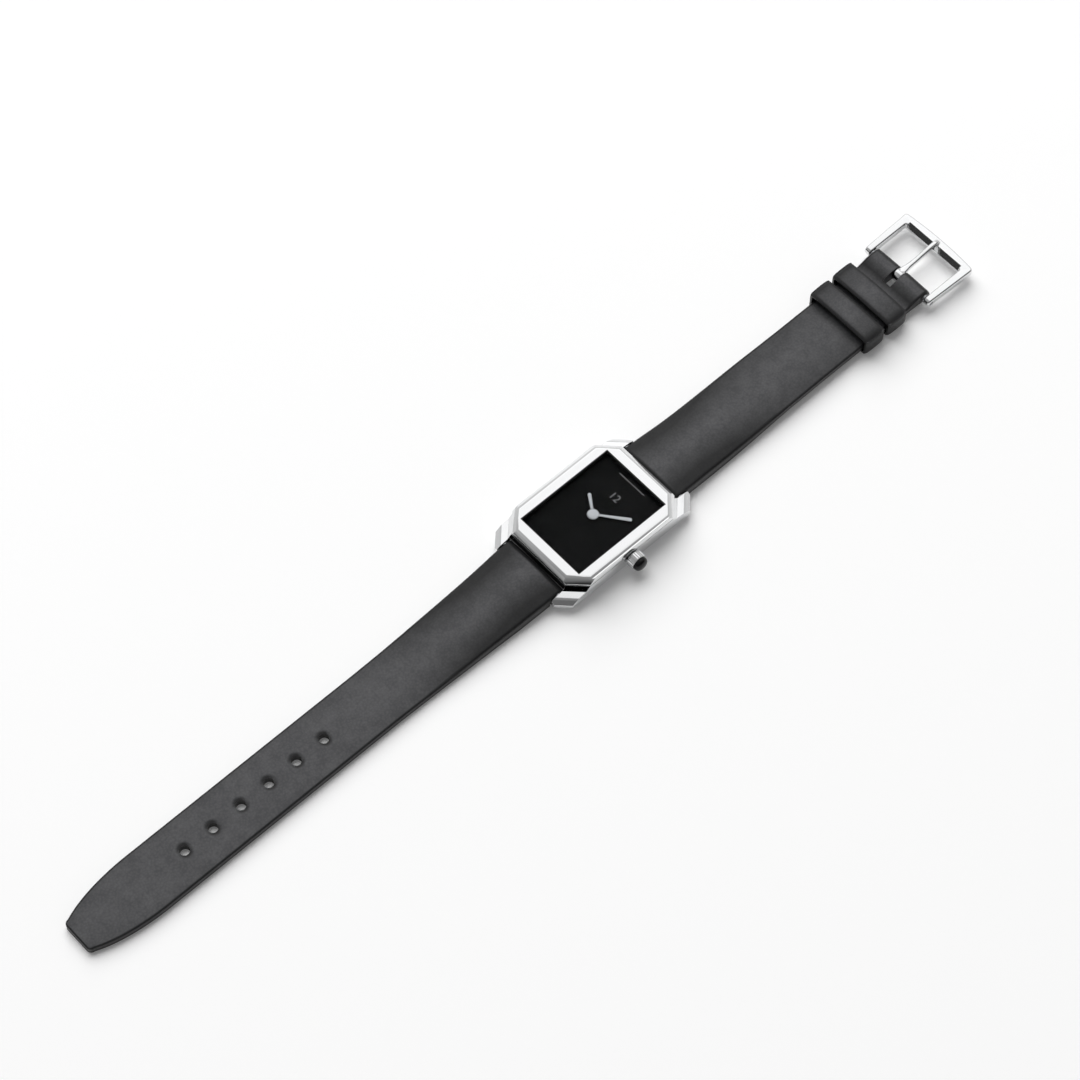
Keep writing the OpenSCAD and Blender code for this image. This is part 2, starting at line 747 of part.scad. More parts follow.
module battery_clamp() {
    d = clamp_pillar - cell_pos;
    color("#c9ab62") difference() {
        union() {
            translate([cell_pos[0], cell_pos[1], clamp_z[0]]) rotate(atan2(d[1], d[0]))
                translate([0, -clamp_w / 2, 0]) cube([norm(d), clamp_w, clamp_z[1] - clamp_z[0]]);
            for (p = [cell_pos, clamp_pillar]) translate([p[0], p[1], clamp_z[0]])
                cylinder(d = clamp_w, h = clamp_z[1] - clamp_z[0]);
        }
        translate([clamp_pillar[0], clamp_pillar[1], 0]) cylinder(r = small_screw_r, h = through);
    }
}

module battery_clamp_screw() {
    color("#9fa3a8") translate([clamp_pillar[0], clamp_pillar[1], 0])
        screw(small_screw_r, screw_head_r, clamp_z[0] - screw_head_h, plate_z - 0.1);
}

board_z = [plate_z - 0.2, plate_z];
board_x = [1.8, 8];
board_y = [-9, -2.6];
can_r = 0.7;
can_x = 5.6;
can_y = [-7.4, -3.2];

module circuit_board() {
    color("#2f6b45") slab(board_z) intersection() {
        translate([board_x[0], board_y[0]]) square([board_x[1] - board_x[0], board_y[1] - board_y[0]]);
        polygon(cut_points(move_w - 0.6, move_l - 0.6, move_corner_cut));
    }
}

module circuit_chip() {
    color("#111213") slab([board_z[0] - 0.5, board_z[0]]) translate([2.4, -6.4]) square([1.9, 1.9]);
}

module quartz_resonator() {
    color("#c4c7ca") translate([can_x, can_y[1], board_z[0] - can_r]) rotate([90, 0, 0])
        cylinder(r = can_r, h = can_y[1] - can_y[0]);
}

module coil_screw_holes() {
    for (side = [-1, 1]) translate([side * coil_screw_x, coil_y, 0]) cylinder(r = small_screw_r, h = through);
}

module stator() {
    color("#8f9499") difference() {
        slab(stator_z) polygon([
            [-stator_x, stator_y[0]], [stator_x, stator_y[0]], [stator_x, stator_arm_y],
            [stator_x - stator_arm_w, stator_arm_y], [stator_x - stator_arm_w, stator_y[1]],
            [stator_arm_w - stator_x, stator_y[1]], [stator_arm_w - stator_x, stator_arm_y],
            [-stator_x, stator_arm_y]
        ]);
        translate([rotor_pos[0], rotor_pos[1], 0]) cylinder(r = stator_hole_r, h = through);
        coil_screw_holes();
    }
}

module coil_core() {
    color("#7e848a") difference() {
        slab([stator_z[0] - core_h, stator_z[0]]) translate([-stator_x, coil_y - core_w / 2])
            square([2 * stator_x, core_w]);
        coil_screw_holes();
    }
}

module coil_winding() {
    color("#b5642d") difference() {
        translate([-4.4, coil_y, stator_z[0] - core_h / 2]) rotate([0, 90, 0]) cylinder(r = coil_r, h = 8.8);
        slab([stator_z[0] - core_h, stator_z[0]]) translate([-stator_x, coil_y - core_w / 2])
            square([2 * stator_x, core_w]);
    }
}

module coil_screws() {
    color("#9fa3a8") for (side = [-1, 1]) translate([side * coil_screw_x, coil_y, 0])
        screw(small_screw_r, core_w / 2, stator_z[0] - core_h - screw_head_h, plate_z + 0.3);
}

module rotor_magnet() {
    color("#4b4f55") translate([rotor_pos[0], rotor_pos[1], magnet_z[0]]) difference() {
        cylinder(r = magnet_r, h = magnet_z[1] - magnet_z[0]);
        translate([0, 0, -eps]) cylinder(r = pivot_r, h = through);
    }
}

// An arbor between the bridge and the plate
module arbor(p, r = pivot_r) {
    translate([p[0], p[1], bridge_top_z - 0.2]) cylinder(r = r, h = plate_z + 0.2 - bridge_top_z + 0.2);
}

module rotor_pinion() {
    color("#d8dadc") {
        arbor(rotor_pos);
        translate([rotor_pos[0], rotor_pos[1], 0]) gear(8, rotor_module, rotor_pinion_z, rotor_turn);
    }
}

module intermediate_wheel() {
    color("#d6b46a") {
        arbor(inter_pos);
        translate([inter_pos[0], inter_pos[1], 0]) {
            gear(32, rotor_module, inter_wheel_z, inter_turn);
            gear(10, third_module, inter_pinion_z, inter_turn);
        }
    }
}

module third_wheel() {
    color("#d6b46a") {
        arbor(third_pos);
        translate([third_pos[0], third_pos[1], 0]) {
            gear(30, third_module, third_wheel_z, third_turn);
            gear(12, centre_module, third_pinion_z, third_turn);
        }
    }
}

module centre_wheel() {
    color("#d6b46a") {
        gear(30, centre_module, centre_wheel_z, 0);
        translate([0, 0, bridge_top_z - 0.2]) cylinder(r = pivot_r, h = 0.5);
        translate([0, 0, bridge_top_z + 0.1]) cylinder(r = arbor_r, h = cannon_top - bridge_top_z - 0.3);
    }
}

module cannon_pinion() {
    color("#d8dadc") difference() {
        union() {
            gear(10, motion_module, cannon_teeth_z, cannon_turn);
            translate([0, 0, cannon_teeth_z[0]]) cylinder(r = cannon_r, h = cannon_top - cannon_teeth_z[0]);
        }
        translate([0, 0, recess_z - eps]) cylinder(r = arbor_r, h = through);
    }
}

module minute_wheel() {
    color("#d6b46a") translate([minute_pos[0], minute_pos[1], 0]) difference() {
        union() {
            gear(30, motion_module, minute_wheel_z, minute_turn);
            gear(8, motion_module, [minute_pinion_z[0] - eps, minute_pinion_z[1]], minute_turn);
        }
        cylinder(r = small_screw_r + pivot_clear, h = through);
    }
}

module hour_wheel() {
    color("#d6b46a") difference() {
        union() {
            gear(32, motion_module, hour_wheel_z, hour_turn);
            translate([0, 0, hour_wheel_z[0]]) cylinder(r = hour_pipe_r, h = hour_pipe_top - hour_wheel_z[0]);
        }
        cylinder(r = cannon_r + pivot_clear, h = through);
    }
}

module dial_washer() {
    color("#c9ab62") slab([hour_wheel_z[1] + 0.06, dial_z]) difference() {
        circle(r = 1.6);
        circle(r = hour_pipe_r + pivot_clear);
    }
}

// Keyless works and crown

module stem() {
    color("#cfd1d4") {
        translate([stem_in_x, -stem_square / 2, stem_z - stem_square / 2])
            cube([stem_shoulder_x - stem_in_x + eps, stem_square, stem_square]);
        stem_rod([stem_shoulder_x, groove_x[0]], stem_d / 2);
        stem_rod([groove_x[0] - eps, groove_x[1] + eps], groove_r);
        stem_rod([groove_x[1], crown_x + crown_recess_l + stem_in_crown], stem_d / 2);
    }
}

module sliding_pinion() {
    mid = (pinion_x[0] + pinion_x[1]) / 2;
    hole = stem_square + 2 * pivot_clear;
    color("#d8dadc") difference() {
        stem_rod(pinion_x, pinion_r);
        difference() {
            stem_rod([mid - pinion_groove_w / 2, mid + pinion_groove_w / 2], pinion_r + 1);
            stem_rod([0, through], pinion_groove_r);
        }
        translate([0, -hole / 2, stem_z - hole / 2]) cube([through, hole, hole]);
    }
}

// A lever from its pivot straight towards its nose
module lever_plate(pivot, nose, l, w, z) {
    d = nose - pivot;
    translate([pivot[0], pivot[1], z[0]]) rotate(atan2(d[1], d[0])) {
        cylinder(r = lever_w, h = z[1] - z[0]);
        translate([0, -w / 2, 0]) cube([l, w, z[1] - z[0]]);
    }
}

module setting_lever() {
    color("#a9adb2") difference() {
        union() {
            lever_plate(lever_pivot, lever_nose, norm(lever_nose - lever_pivot), lever_w, lever_z);
            translate([lever_nose[0], lever_nose[1], lever_nose_z])
                cylinder(r = lever_nose_r, h = lever_z[1] - lever_nose_z);
        }
        translate([lever_pivot[0], lever_pivot[1], 0]) cylinder(r = small_screw_r + pivot_clear, h = through);
    }
}

module setting_lever_screw() {
    color("#9fa3a8") translate([lever_pivot[0], lever_pivot[1], 0]) {
        translate([0, 0, plate_z + 0.25]) cylinder(r = small_screw_r, h = lever_z[1] - plate_z);
        translate([0, 0, lever_z[1] + 0.03]) cylinder(r = 0.42, h = 0.25);
    }
}

module yoke() {
    l = norm(yoke_nose - yoke_pivot);
    color("#a9adb2") difference() {
        union() {
            lever_plate(yoke_pivot, yoke_nose, l - yoke_finger_l, lever_w, yoke_z);
            lever_plate(yoke_pivot, yoke_nose, l, yoke_finger_w, yoke_z);
            translate([yoke_nose[0], 0, yoke_z[0]]) cylinder(r = yoke_nose_r, h = yoke_z[1] - yoke_z[0]);
        }
        translate([yoke_pivot[0], yoke_pivot[1], 0]) cylinder(r = small_screw_r + pivot_clear, h = through);
    }
}

module yoke_screw() {
    color("#9fa3a8") translate([yoke_pivot[0], yoke_pivot[1], 0]) {
        translate([0, 0, plate_z + 0.25]) cylinder(r = small_screw_r, h = yoke_z[1] - plate_z);
        translate([0, 0, yoke_z[1] + 0.03]) cylinder(r = 0.42, h = 0.2);
    }
}

module crown() {
    out_x = crown_x + crown_l;
    color("#dfe0e2") difference() {
        union() {
            stem_rod([crown_x + crown_edge, out_x - crown_edge], crown_d / 2);
            stem_rod([crown_x, out_x], crown_d / 2 - crown_edge);
        }
        stem_rod([crown_x - eps, crown_x + crown_recess_l], crown_recess_r);
        stem_rod([0, crown_x + crown_recess_l + stem_in_crown], stem_d / 2);
        stem_rod([out_x - cabochon_seat, through], cabochon_d / 2);
        for (k = [0 : crown_flutes - 1]) flute(360 * k / crown_flutes);
    }
}

// One flute, cut along the crown's side
module flute(a) {
    p = polar(a, crown_d / 2);
    translate([crown_x - eps, p[0], stem_z + p[1]]) rotate([0, 90, 0])
        cylinder(r = flute_r, h = crown_l + 2 * eps);
}

module crown_gasket() {
    color("#1a1a1a") difference() {
        stem_rod(crown_gasket_x, crown_recess_r - 0.03);
        stem_rod([0, through], tube_r + 0.03);
    }
}

module crown_cabochon() {
    base = cabochon_seat + cabochon_rim;
    rise = cabochon_h - cabochon_rim;
    color("#0a0a0b") translate([crown_x + crown_l - cabochon_seat, 0, stem_z]) rotate([0, 90, 0])
        rotate_extrude() polygon(concat([[0, 0], [cabochon_d / 2, 0]], [
            for (k = [0 : 7]) [cabochon_d / 2 * cos(90 * k / 8), base + rise * sin(90 * k / 8)]
        ], [[0, base + rise]]));
}

// Hands

// A baton hand along +Y that widens a little towards a round tip
module baton(l, w_hub, w_tip) {
    polygon([
        [-w_hub / 2, 0], [-w_tip / 2, l - w_tip / 2],
        for (k = [1 : 7]) [-w_tip / 2 * cos(k * 22.5), l - w_tip / 2 + w_tip / 2 * sin(k * 22.5)],
        [w_tip / 2, l - w_tip / 2], [w_hub / 2, 0]
    ]);
}

module hour_hand() {
    color("#eceded") difference() {
        union() {
            slab(hour_hand_z) rotate(-hour_angle) baton(hour_hand_l, 0.5, 0.72);
            slab(hour_hand_z) circle(d = hour_hub_d);
        }
        cylinder(r = hour_pipe_r, h = through);
    }
}

module minute_hand() {
    color("#eceded") difference() {
        union() {
            slab(minute_hand_z) {
                rotate(-minute_angle) baton(minute_hand_l, 0.5, 0.78);
                circle(d = minute_hub_d);
            }
            translate([0, 0, minute_hand_z[1] - eps]) rotate_extrude() polygon([
                [0, 0], [minute_hub_d / 2, 0], [minute_hub_d / 2 - 0.15, hub_dome_h * 0.6],
                [minute_hub_d / 4, hub_dome_h], [0, hub_dome_h]
            ]);
        }
        cylinder(r = cannon_r, h = cannon_top);
    }
}

// Spring bars

// A spring bar's tube along X
module bar_tube(d, w) {
    rotate([0, 90, 0]) difference() {
        cylinder(d = d, h = w, center = true);
        cylinder(d = d - 0.5, h = w + 1, center = true);
    }
}

// The two tips of a spring bar along X, each with a collar inside the tube
module bar_tips(d, w, tip_d, reach) {
    for (side = [0, 1]) mirror([side, 0, 0]) {
        translate([w / 2 - 1.7, 0, 0]) rotate([0, 90, 0]) cylinder(d = d - 0.54, h = 0.6);
        translate([w / 2 - 1.2, 0, 0]) rotate([0, 90, 0]) cylinder(d = tip_d, h = 1.2 + reach);
    }
}

// The spring between the tips of a spring bar along X, drawn as a sleeve
module bar_spring(d, w) {
    rotate([0, 90, 0]) difference() {
        cylinder(d = d - 0.54, h = w - 3.4, center = true);
        cylinder(d = d - 0.9, h = w, center = true);
    }
}

strap_bar_w = lug_gap - 0.3;

module both_bars() {
    for (side = [-1, 1]) translate([0, side * bar_y, bar_z]) children();
}

module spring_bar_tubes() {
    color("#b9bcc0") both_bars() bar_tube(bar_d, strap_bar_w);
}

module spring_bar_tips() {
    color("#d0d2d4") both_bars() bar_tips(bar_d, strap_bar_w, bar_tip_d, bar_tip_in + 0.15);
}

module spring_bar_springs() {
    color("#9fa3a8") both_bars() bar_spring(bar_d, strap_bar_w);
}

buckle_bar_w = buckle_in_w - 0.2;
buckle_tip_d = 0.8;

module at_buckle_bar() {
    translate([0, buckle_bar_y, buckle_bar_z]) children();
}

module buckle_bar_tube() {
    color("#b9bcc0") at_buckle_bar() bar_tube(buckle_bar_d, buckle_bar_w);
}

module buckle_bar_tips() {
    color("#d0d2d4") at_buckle_bar() bar_tips(buckle_bar_d, buckle_bar_w, buckle_tip_d, buckle_arm_w - 0.1);
}

module buckle_bar_spring() {
    color("#9fa3a8") at_buckle_bar() bar_spring(buckle_bar_d, buckle_bar_w);
}

// Strap

end_c = [bar_y, bar_z];
loop_c = [buckle_bar_y, buckle_bar_z];
taper_to = bar_y + taper_out;

module bar_bore(c, d) {
    translate([0, c[0], c[1]]) rotate([0, 90, 0]) cylinder(r = d / 2 + bar_clear, h = through, center = true);
}

// Half outline of the 12 o'clock strap as width and distance, and of the 6 o'clock strap
half_12 = [
    [strap_w / 2, 0], [strap_w / 2, touch_y], [strap_w / 2 - 0.1, thin_y],
    [buckle_strap_w / 2, taper_to], [buckle_strap_w / 2, through * 2]
];
half_6 = concat(
    [[strap_w / 2, 0], [strap_w / 2, crest_y], [(strap_w + tail_w) / 4, thin_y], [tail_w / 2, taper_to]],
    [for (k = [0 : 11]) let (y = tip_from + k * (tail_y - tip_round - tip_from) / 11) [tip_half(y), y]],
    [for (k = [1 : 5]) [tip_half(tail_y - tip_round) - tip_round * (1 - cos(k * 18)),
        tail_y - tip_round + tip_round * sin(k * 18)]]
);

// Half width of the tail's curved tip at a distance from the centre
function tip_half(y) = tail_w / 2 * sqrt(1 - pow((y - tip_from) / tip_reach, 2));

module strap_outline(half) {
    translate([0, 0, -1]) linear_extrude(20)
        polygon(concat(half, [for (p = backwards(half)) [-p[0], p[1]]]));
}

module tongue_slot() {
    translate([-slot_w / 2, slot_from, -1]) cube([slot_w, through, through]);
}

module strap_12_upper() {
    color("#242426") difference() {
        intersection() {
            across(strap_w + 2) polygon(concat(
                arc(end_c, strap_end_r, 90, 360 + top_join), lifted(top_12, -upper_t),
                arc(loop_c, loop_r, loop_mid_join, 360 + loop_top_join), backwards(top_12)
            ));
            strap_outline(half_12);
        }
        bar_bore(end_c, bar_d);
        bar_bore(loop_c, buckle_bar_d);
        tongue_slot();
    }
}

module strap_12_padding() {
    color("#5a5348") intersection() {
        across(strap_w + 2) polygon(concat(
            arc(end_c, strap_end_r, top_join, low_join), lifted(bottom_12, lining_t),
            backwards(lifted([for (p = top_12) if (p[0] < lift_to) p], -upper_t))
        ));
        strap_outline(half_12);
    }
}

module strap_12_lining() {
    color("#1b1b1c") difference() {
        intersection() {
            across(strap_w + 2) polygon(concat(
                arc(end_c, strap_end_r, low_join, under_join), bottom_12,
                [[slot_from - 1, ground_lift]],
                arc(loop_c, loop_r, loop_under_join, loop_mid_join), backwards(lifted(bottom_12, lining_t))
            ));
            strap_outline(half_12);
        }
        tongue_slot();
    }
}

module strap_6_holes() {
    for (k = [0 : hole_count - 1]) translate([0, first_hole_y + k * hole_pitch, -1])
        cylinder(d = hole_d, h = 20);
}

module strap_6_upper() {
    color("#242426") rotate(180) difference() {
        intersection() {
            across(strap_w + 2) polygon(concat(
                arc(end_c, strap_end_r, 90, 360 + top_join), lifted(top_6, -upper_t), backwards(top_6)
            ));
            strap_outline(half_6);
        }
        bar_bore(end_c, bar_d);
        strap_6_holes();
    }
}

module strap_6_padding() {
    color("#5a5348") rotate(180) intersection() {
        across(strap_w + 2) polygon(concat(
            arc(end_c, strap_end_r, top_join, low_join),
            lifted([for (p = bottom_6) if (p[0] <= flat_from) p], lining_t),
            backwards(lifted([for (p = top_6) if (p[0] < flat_from) p], -upper_t))
        ));
        strap_outline(half_6);
    }
}

module strap_6_lining() {
    color("#1b1b1c") rotate(180) difference() {
        intersection() {
            across(strap_w + 2) polygon(concat(
                arc(end_c, strap_end_r, low_join, under_join), bottom_6, backwards(lifted(bottom_6, lining_t))
            ));
            strap_outline(half_6);
        }
        strap_6_holes();
    }
}

// A leather loop round the strap from a stated height
module keeper(y, low_z) {
    out_w = keeper_in_w + 2 * keeper_t;
    h = keeper_top_z - low_z;
    translate([-out_w / 2, y + keeper_l, low_z]) rotate([90, 0, 0]) linear_extrude(keeper_l) difference() {
        polygon(round_points(out_w, h, keeper_corner_r));
        translate([keeper_t, keeper_t]) polygon(round_points(keeper_in_w, h - 2 * keeper_t, keeper_side_gap));
    }
}

module fixed_keeper() {
    color("#202022") keeper(fixed_keeper_y, ground_lift - keeper_t);
}

module free_keeper() {
    color("#202022") keeper(free_keeper_y, 0);
}

// Buckle

buckle_half = buckle_in_w / 2;
buckle_end_y = buckle_bar_y + buckle_in_l + buckle_end_w;
buckle_corner = [buckle_half + buckle_arm_w + buckle_flare - buckle_corner_r, buckle_end_y - buckle_corner_r];

// Right half of the buckle's outer outline, from the arm's end round to the middle of the bowed end bar
buckle_side = concat(
    [[buckle_half + buckle_arm_w, buckle_bar_y - buckle_arm_back]],
    arc(buckle_corner, buckle_corner_r, 0, 90, 6),
    [for (k = [3 : -1 : 1]) let (x = buckle_corner[0] * k / 4)
        [x, buckle_end_y + buckle_bow * (1 - pow(k / 4, 2))]],
    [[0, buckle_end_y + buckle_bow]]
);

module buckle_outline() {
    polygon(concat(buckle_side, [for (p = backwards(buckle_side)) if (p[0] > 0) [-p[0], p[1]]]));
}

module buckle_frame() {
    mid_z = (buckle_low_z + buckle_high_z) / 2;
    flare_angle = atan2(buckle_flare, buckle_corner[1] - buckle_bar_y + buckle_arm_back);
    color("#e2e3e5") difference() {
        slab([buckle_low_z, buckle_high_z]) buckle_outline();
        slab([0, through]) translate([-buckle_half, 0]) square([buckle_in_w, buckle_bar_y + buckle_in_l]);
        // Bevels along the upper edges of the arms, and round arm ends
        for (side = [0, 1]) mirror([side, 0, 0]) {
            translate([buckle_half + buckle_arm_w, buckle_bar_y - buckle_arm_back, buckle_high_z])
                rotate([0, 0, -flare_angle]) rotate([0, 45, 0])
                    cube([buckle_bevel * sqrt(2), through, buckle_bevel * sqrt(2)], center = true);
            translate([buckle_half - 1, buckle_bar_y, mid_z]) rotate([0, 90, 0]) difference() {
                translate([-2, -3, 0]) cube([4, 3, 4]);
                cylinder(r = buckle_t / 2, h = through, center = true);
            }
        }
        translate([0, buckle_end_y + buckle_bow, buckle_high_z]) rotate([45, 0, 0])
            cube([through, buckle_end_bevel * sqrt(2), buckle_end_bevel * sqrt(2)], center = true);
        at_buckle_bar() rotate([0, 90, 0]) cylinder(d = buckle_tip_d, h = through, center = true);
    }
}

module buckle_tongue() {
    ry = buckle_bar_y;
    rz = buckle_bar_z;
    low = buckle_high_z + tongue_lift;
    color("#e6e7e9") difference() {
        union() {
            across(tongue_w) polygon([
                [ry, rz + 0.4], [ry + 1.6, rz + 0.4], [ry + tongue_dip, rz + 0.4],
                [ry + buckle_in_l - tongue_rise, low], [tongue_tip_y, low],
                [tongue_tip_y, low + tongue_t / 2], [tongue_tip_y - 1.2, low + tongue_t],
                [ry + buckle_in_l - tongue_rise, low + tongue_t],
                [ry + tongue_dip, rz + tongue_t + 0.4], [ry + 0.1, rz + tongue_ring_r - 0.02]
            ]);
            at_buckle_bar() rotate([0, 90, 0]) cylinder(r = tongue_ring_r, h = tongue_w, center = true);
        }
        bar_bore(loop_c, buckle_bar_d);
    }
}

case_body();
crown_tube();
bezel();
crystal_gasket();
crystal();
dial();
case_back();
case_back_gasket();
case_back_screws();
movement_holder();
main_plate();
train_bridge();
train_bridge_screws();
battery();
battery_clamp();
battery_clamp_screw();
circuit_board();
circuit_chip();
quartz_resonator();
stator();
coil_core();
coil_winding();
coil_screws();
rotor_magnet();
rotor_pinion();
intermediate_wheel();
third_wheel();
centre_wheel();
cannon_pinion();
minute_wheel();
hour_wheel();
dial_washer();
stem();
sliding_pinion();
setting_lever();
setting_lever_screw();
yoke();
yoke_screw();
crown();
crown_gasket();
crown_cabochon();
hour_hand();
minute_hand();
spring_bar_tubes();
spring_bar_tips();
spring_bar_springs();
strap_12_upper();
strap_12_padding();
strap_12_lining();
strap_6_upper();
strap_6_padding();
strap_6_lining();
fixed_keeper();
free_keeper();
buckle_frame();
buckle_bar_tube();
buckle_bar_tips();
buckle_bar_spring();
buckle_tongue();
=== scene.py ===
# %% [markdown]
# A rectangular wristwatch in Blender
#
# The solids of the watch arrive as a fixed frame, drawn in metres. The frame is never moved or reshaped.
# Each solid gets a finish made from shader nodes, and the soft parts and the parts whose edges catch
# the light are replaced by pieces modelled here, each in the place of the solid that it stands for.

import json
import math

import bmesh
import bpy
from mathutils import Matrix, Vector


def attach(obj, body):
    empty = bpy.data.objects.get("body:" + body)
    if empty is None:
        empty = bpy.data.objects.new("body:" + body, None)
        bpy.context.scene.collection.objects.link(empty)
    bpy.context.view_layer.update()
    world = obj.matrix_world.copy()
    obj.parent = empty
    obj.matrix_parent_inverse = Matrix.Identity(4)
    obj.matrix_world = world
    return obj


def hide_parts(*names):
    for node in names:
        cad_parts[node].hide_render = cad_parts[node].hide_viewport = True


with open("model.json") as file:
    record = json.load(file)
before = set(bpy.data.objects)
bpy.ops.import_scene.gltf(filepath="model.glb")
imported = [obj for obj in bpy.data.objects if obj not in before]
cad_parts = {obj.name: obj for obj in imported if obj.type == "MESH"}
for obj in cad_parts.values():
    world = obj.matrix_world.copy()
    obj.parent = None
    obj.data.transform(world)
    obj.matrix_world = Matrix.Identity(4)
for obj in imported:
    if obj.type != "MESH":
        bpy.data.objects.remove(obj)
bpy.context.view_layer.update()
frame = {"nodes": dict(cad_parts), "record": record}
MM = 0.001

# %% [markdown]
# The camera
#
# The watch lies diagonally across the picture and is seen from above its 3 o'clock side through a long
# lens. A camera could be placed by eye, but then every edge would be a little off. Here its angles,
# distance and aim come from matching the corners of the bezel, the buckle and the holes of the strap.

# %% Place the camera
FRAME_PIXELS = 1080
CAMERA_AZIMUTH = math.radians(47.19)
CAMERA_ELEVATION = math.radians(60.74)
CAMERA_ROLL = math.radians(0.3)
CAMERA_DISTANCE = 661.6 * MM
PIXELS_PER_METRE = 5350
AIM_POINT = Vector((0, 0, 6 * MM))
AIM_PIXEL = (593.2, 511.3)
SENSOR_MM = 36


def direction(azimuth, elevation):
    """The unit vector towards an azimuth and elevation, as the camera's place is given."""
    return Vector((
        math.sin(azimuth) * math.cos(elevation),
        -math.cos(azimuth) * math.cos(elevation),
        math.sin(elevation),
    ))


def add_object(name, data):
    """An object in the scene that shows some data."""
    thing = bpy.data.objects.new(name, data)
    bpy.context.scene.collection.objects.link(thing)
    return thing


back = direction(CAMERA_AZIMUTH, CAMERA_ELEVATION)
level = Vector((math.cos(CAMERA_AZIMUTH), math.sin(CAMERA_AZIMUTH), 0))
right = Matrix.Rotation(CAMERA_ROLL, 3, back) @ level
up = back.cross(right)
camera_data = bpy.data.cameras.new("camera")
camera_data.sensor_width = SENSOR_MM
camera_data.lens = SENSOR_MM * PIXELS_PER_METRE * CAMERA_DISTANCE / FRAME_PIXELS
camera_data.clip_start = 10 * MM
camera = add_object("camera", camera_data)
aside = (AIM_PIXEL[0] - FRAME_PIXELS / 2) / PIXELS_PER_METRE
above = (FRAME_PIXELS / 2 - AIM_PIXEL[1]) / PIXELS_PER_METRE
camera_place = AIM_POINT + back * CAMERA_DISTANCE - right * aside - up * above
camera.matrix_world = Matrix.Translation(camera_place) @ Matrix((right, up, back)).transposed().to_4x4()
bpy.context.scene.camera = camera
print("lens in mm", round(camera_data.lens, 1))

# %% [markdown]
# Helpers for shader nodes
#
# Every finish is a small tree of nodes. These helpers add a node with its values set, wire two sockets
# together and open a node group, so that each finish below reads as a short list of decisions.

# %% Node helpers
def set_inputs(node, values):
    """Sets the inputs of a node by their names, in which _ stands for a space."""
    for key, value in values.items():
        node.inputs[key.replace("_", " ")].default_value = value


def new_material(name, **values):
    """A node material, its tree, its Principled shader with values set, and its output."""
    material = bpy.data.materials.new(name)
    material.use_nodes = True
    tree = material.node_tree
    set_inputs(tree.nodes["Principled BSDF"], values)
    return material, tree, tree.nodes["Principled BSDF"], tree.nodes["Material Output"]


def add_node(tree, kind, settings=None, **values):
    """A node with its settings and the values of its inputs."""
    node = tree.nodes.new("ShaderNode" + kind)
    for key, value in (settings or {}).items():
        setattr(node, key, value)
    set_inputs(node, values)
    return node


def wire(tree, *pairs):
    """Links each output to its input."""
    for start, end in pairs:
        tree.links.new(start, end)


def calculate(tree, operation, first, second):
    """A math node between two values or sockets, and its result."""
    node = add_node(tree, "Math", {"operation": operation})
    for socket, value in zip(node.inputs, (first, second)):
        if isinstance(value, (int, float)):
            socket.default_value = value
        else:
            tree.links.new(value, socket)
    return node.outputs[0]


def new_group(name, inputs, outputs):
    """A node group with number inputs and number outputs."""
    group = bpy.data.node_groups.new(name, "ShaderNodeTree")
    for label, value in inputs:
        socket = group.interface.new_socket(label, in_out="INPUT", socket_type="NodeSocketFloat")
        socket.default_value = value
    for label in outputs:
        group.interface.new_socket(label, in_out="OUTPUT", socket_type="NodeSocketFloat")
    return group, group.nodes.new("NodeGroupInput"), group.nodes.new("NodeGroupOutput")


def place_group(tree, group, **values):
    """A node that uses a group in a material, with its own values."""
    return add_node(tree, "Group", {"node_tree": group}, **values)


def scaled_vector(tree, source, factors):
    """The three numbers of a vector, each times its own factor."""
    node = add_node(tree, "VectorMath", {"operation": "MULTIPLY"})
    node.inputs[1].default_value = factors
    wire(tree, (source, node.inputs[0]))
    return node.outputs["Vector"]


def raise_surface(tree, shader, height, strength, depth):
    """Lets a height from 0 to 1 raise the surface of a shader by a depth."""
    bump = add_node(tree, "Bump", Strength=strength, Distance=depth)
    wire(tree, (height, bump.inputs["Height"]), (bump.outputs["Normal"], shader.inputs["Normal"]))


def let_through(tree, shader, output, share):
    """Swaps a share of a material for a clear one that lets light straight through."""
    clear = add_node(tree, "BsdfTransparent")
    mix = add_node(tree, "MixShader")
    wire(
        tree, (share, mix.inputs[0]), (shader.outputs["BSDF"], mix.inputs[1]),
        (clear.outputs["BSDF"], mix.inputs[2]), (mix.outputs[0], output.inputs["Surface"]))


# %% [markdown]
# Effects that several finishes share
#
# Polished metal is never equally smooth: it has faint cloudy patches where it was handled. Brushed metal
# has fine parallel lines, and leather has small pebbles with softer swellings under them. The leather's
# raised middle also gets a painted sheen, a lighter colour where its highlight falls. Each of these is a
# node group made once. They read Object coordinates, which are metres, so a scale of 1000 gives details a
# millimetre wide. Painted textures would need unwrapping.

# %% Cloudy patches
def make_clouds():
    """Soft patches between a low and a high value."""
    group, given, result = new_group(
        "cloudy_patches", [("Scale", 300), ("Low", 0.1), ("High", 0.2), ("Detail", 3)], ["Value"])
    place = add_node(group, "TexCoord")
    noise = add_node(group, "TexNoise")
    spread = add_node(group, "MapRange", From_Min=0.3, From_Max=0.7)
    wire(
        group, (place.outputs["Object"], noise.inputs["Vector"]),
        (given.outputs["Scale"], noise.inputs["Scale"]), (given.outputs["Detail"], noise.inputs["Detail"]),
        (noise.outputs["Fac"], spread.inputs["Value"]),
        (given.outputs["Low"], spread.inputs["To Min"]), (given.outputs["High"], spread.inputs["To Max"]),
        (spread.outputs["Result"], result.inputs["Value"]))
    return group


clouds = make_clouds()


# %% Fine lines
LINE_STRETCH = (1, 0.02, 1)


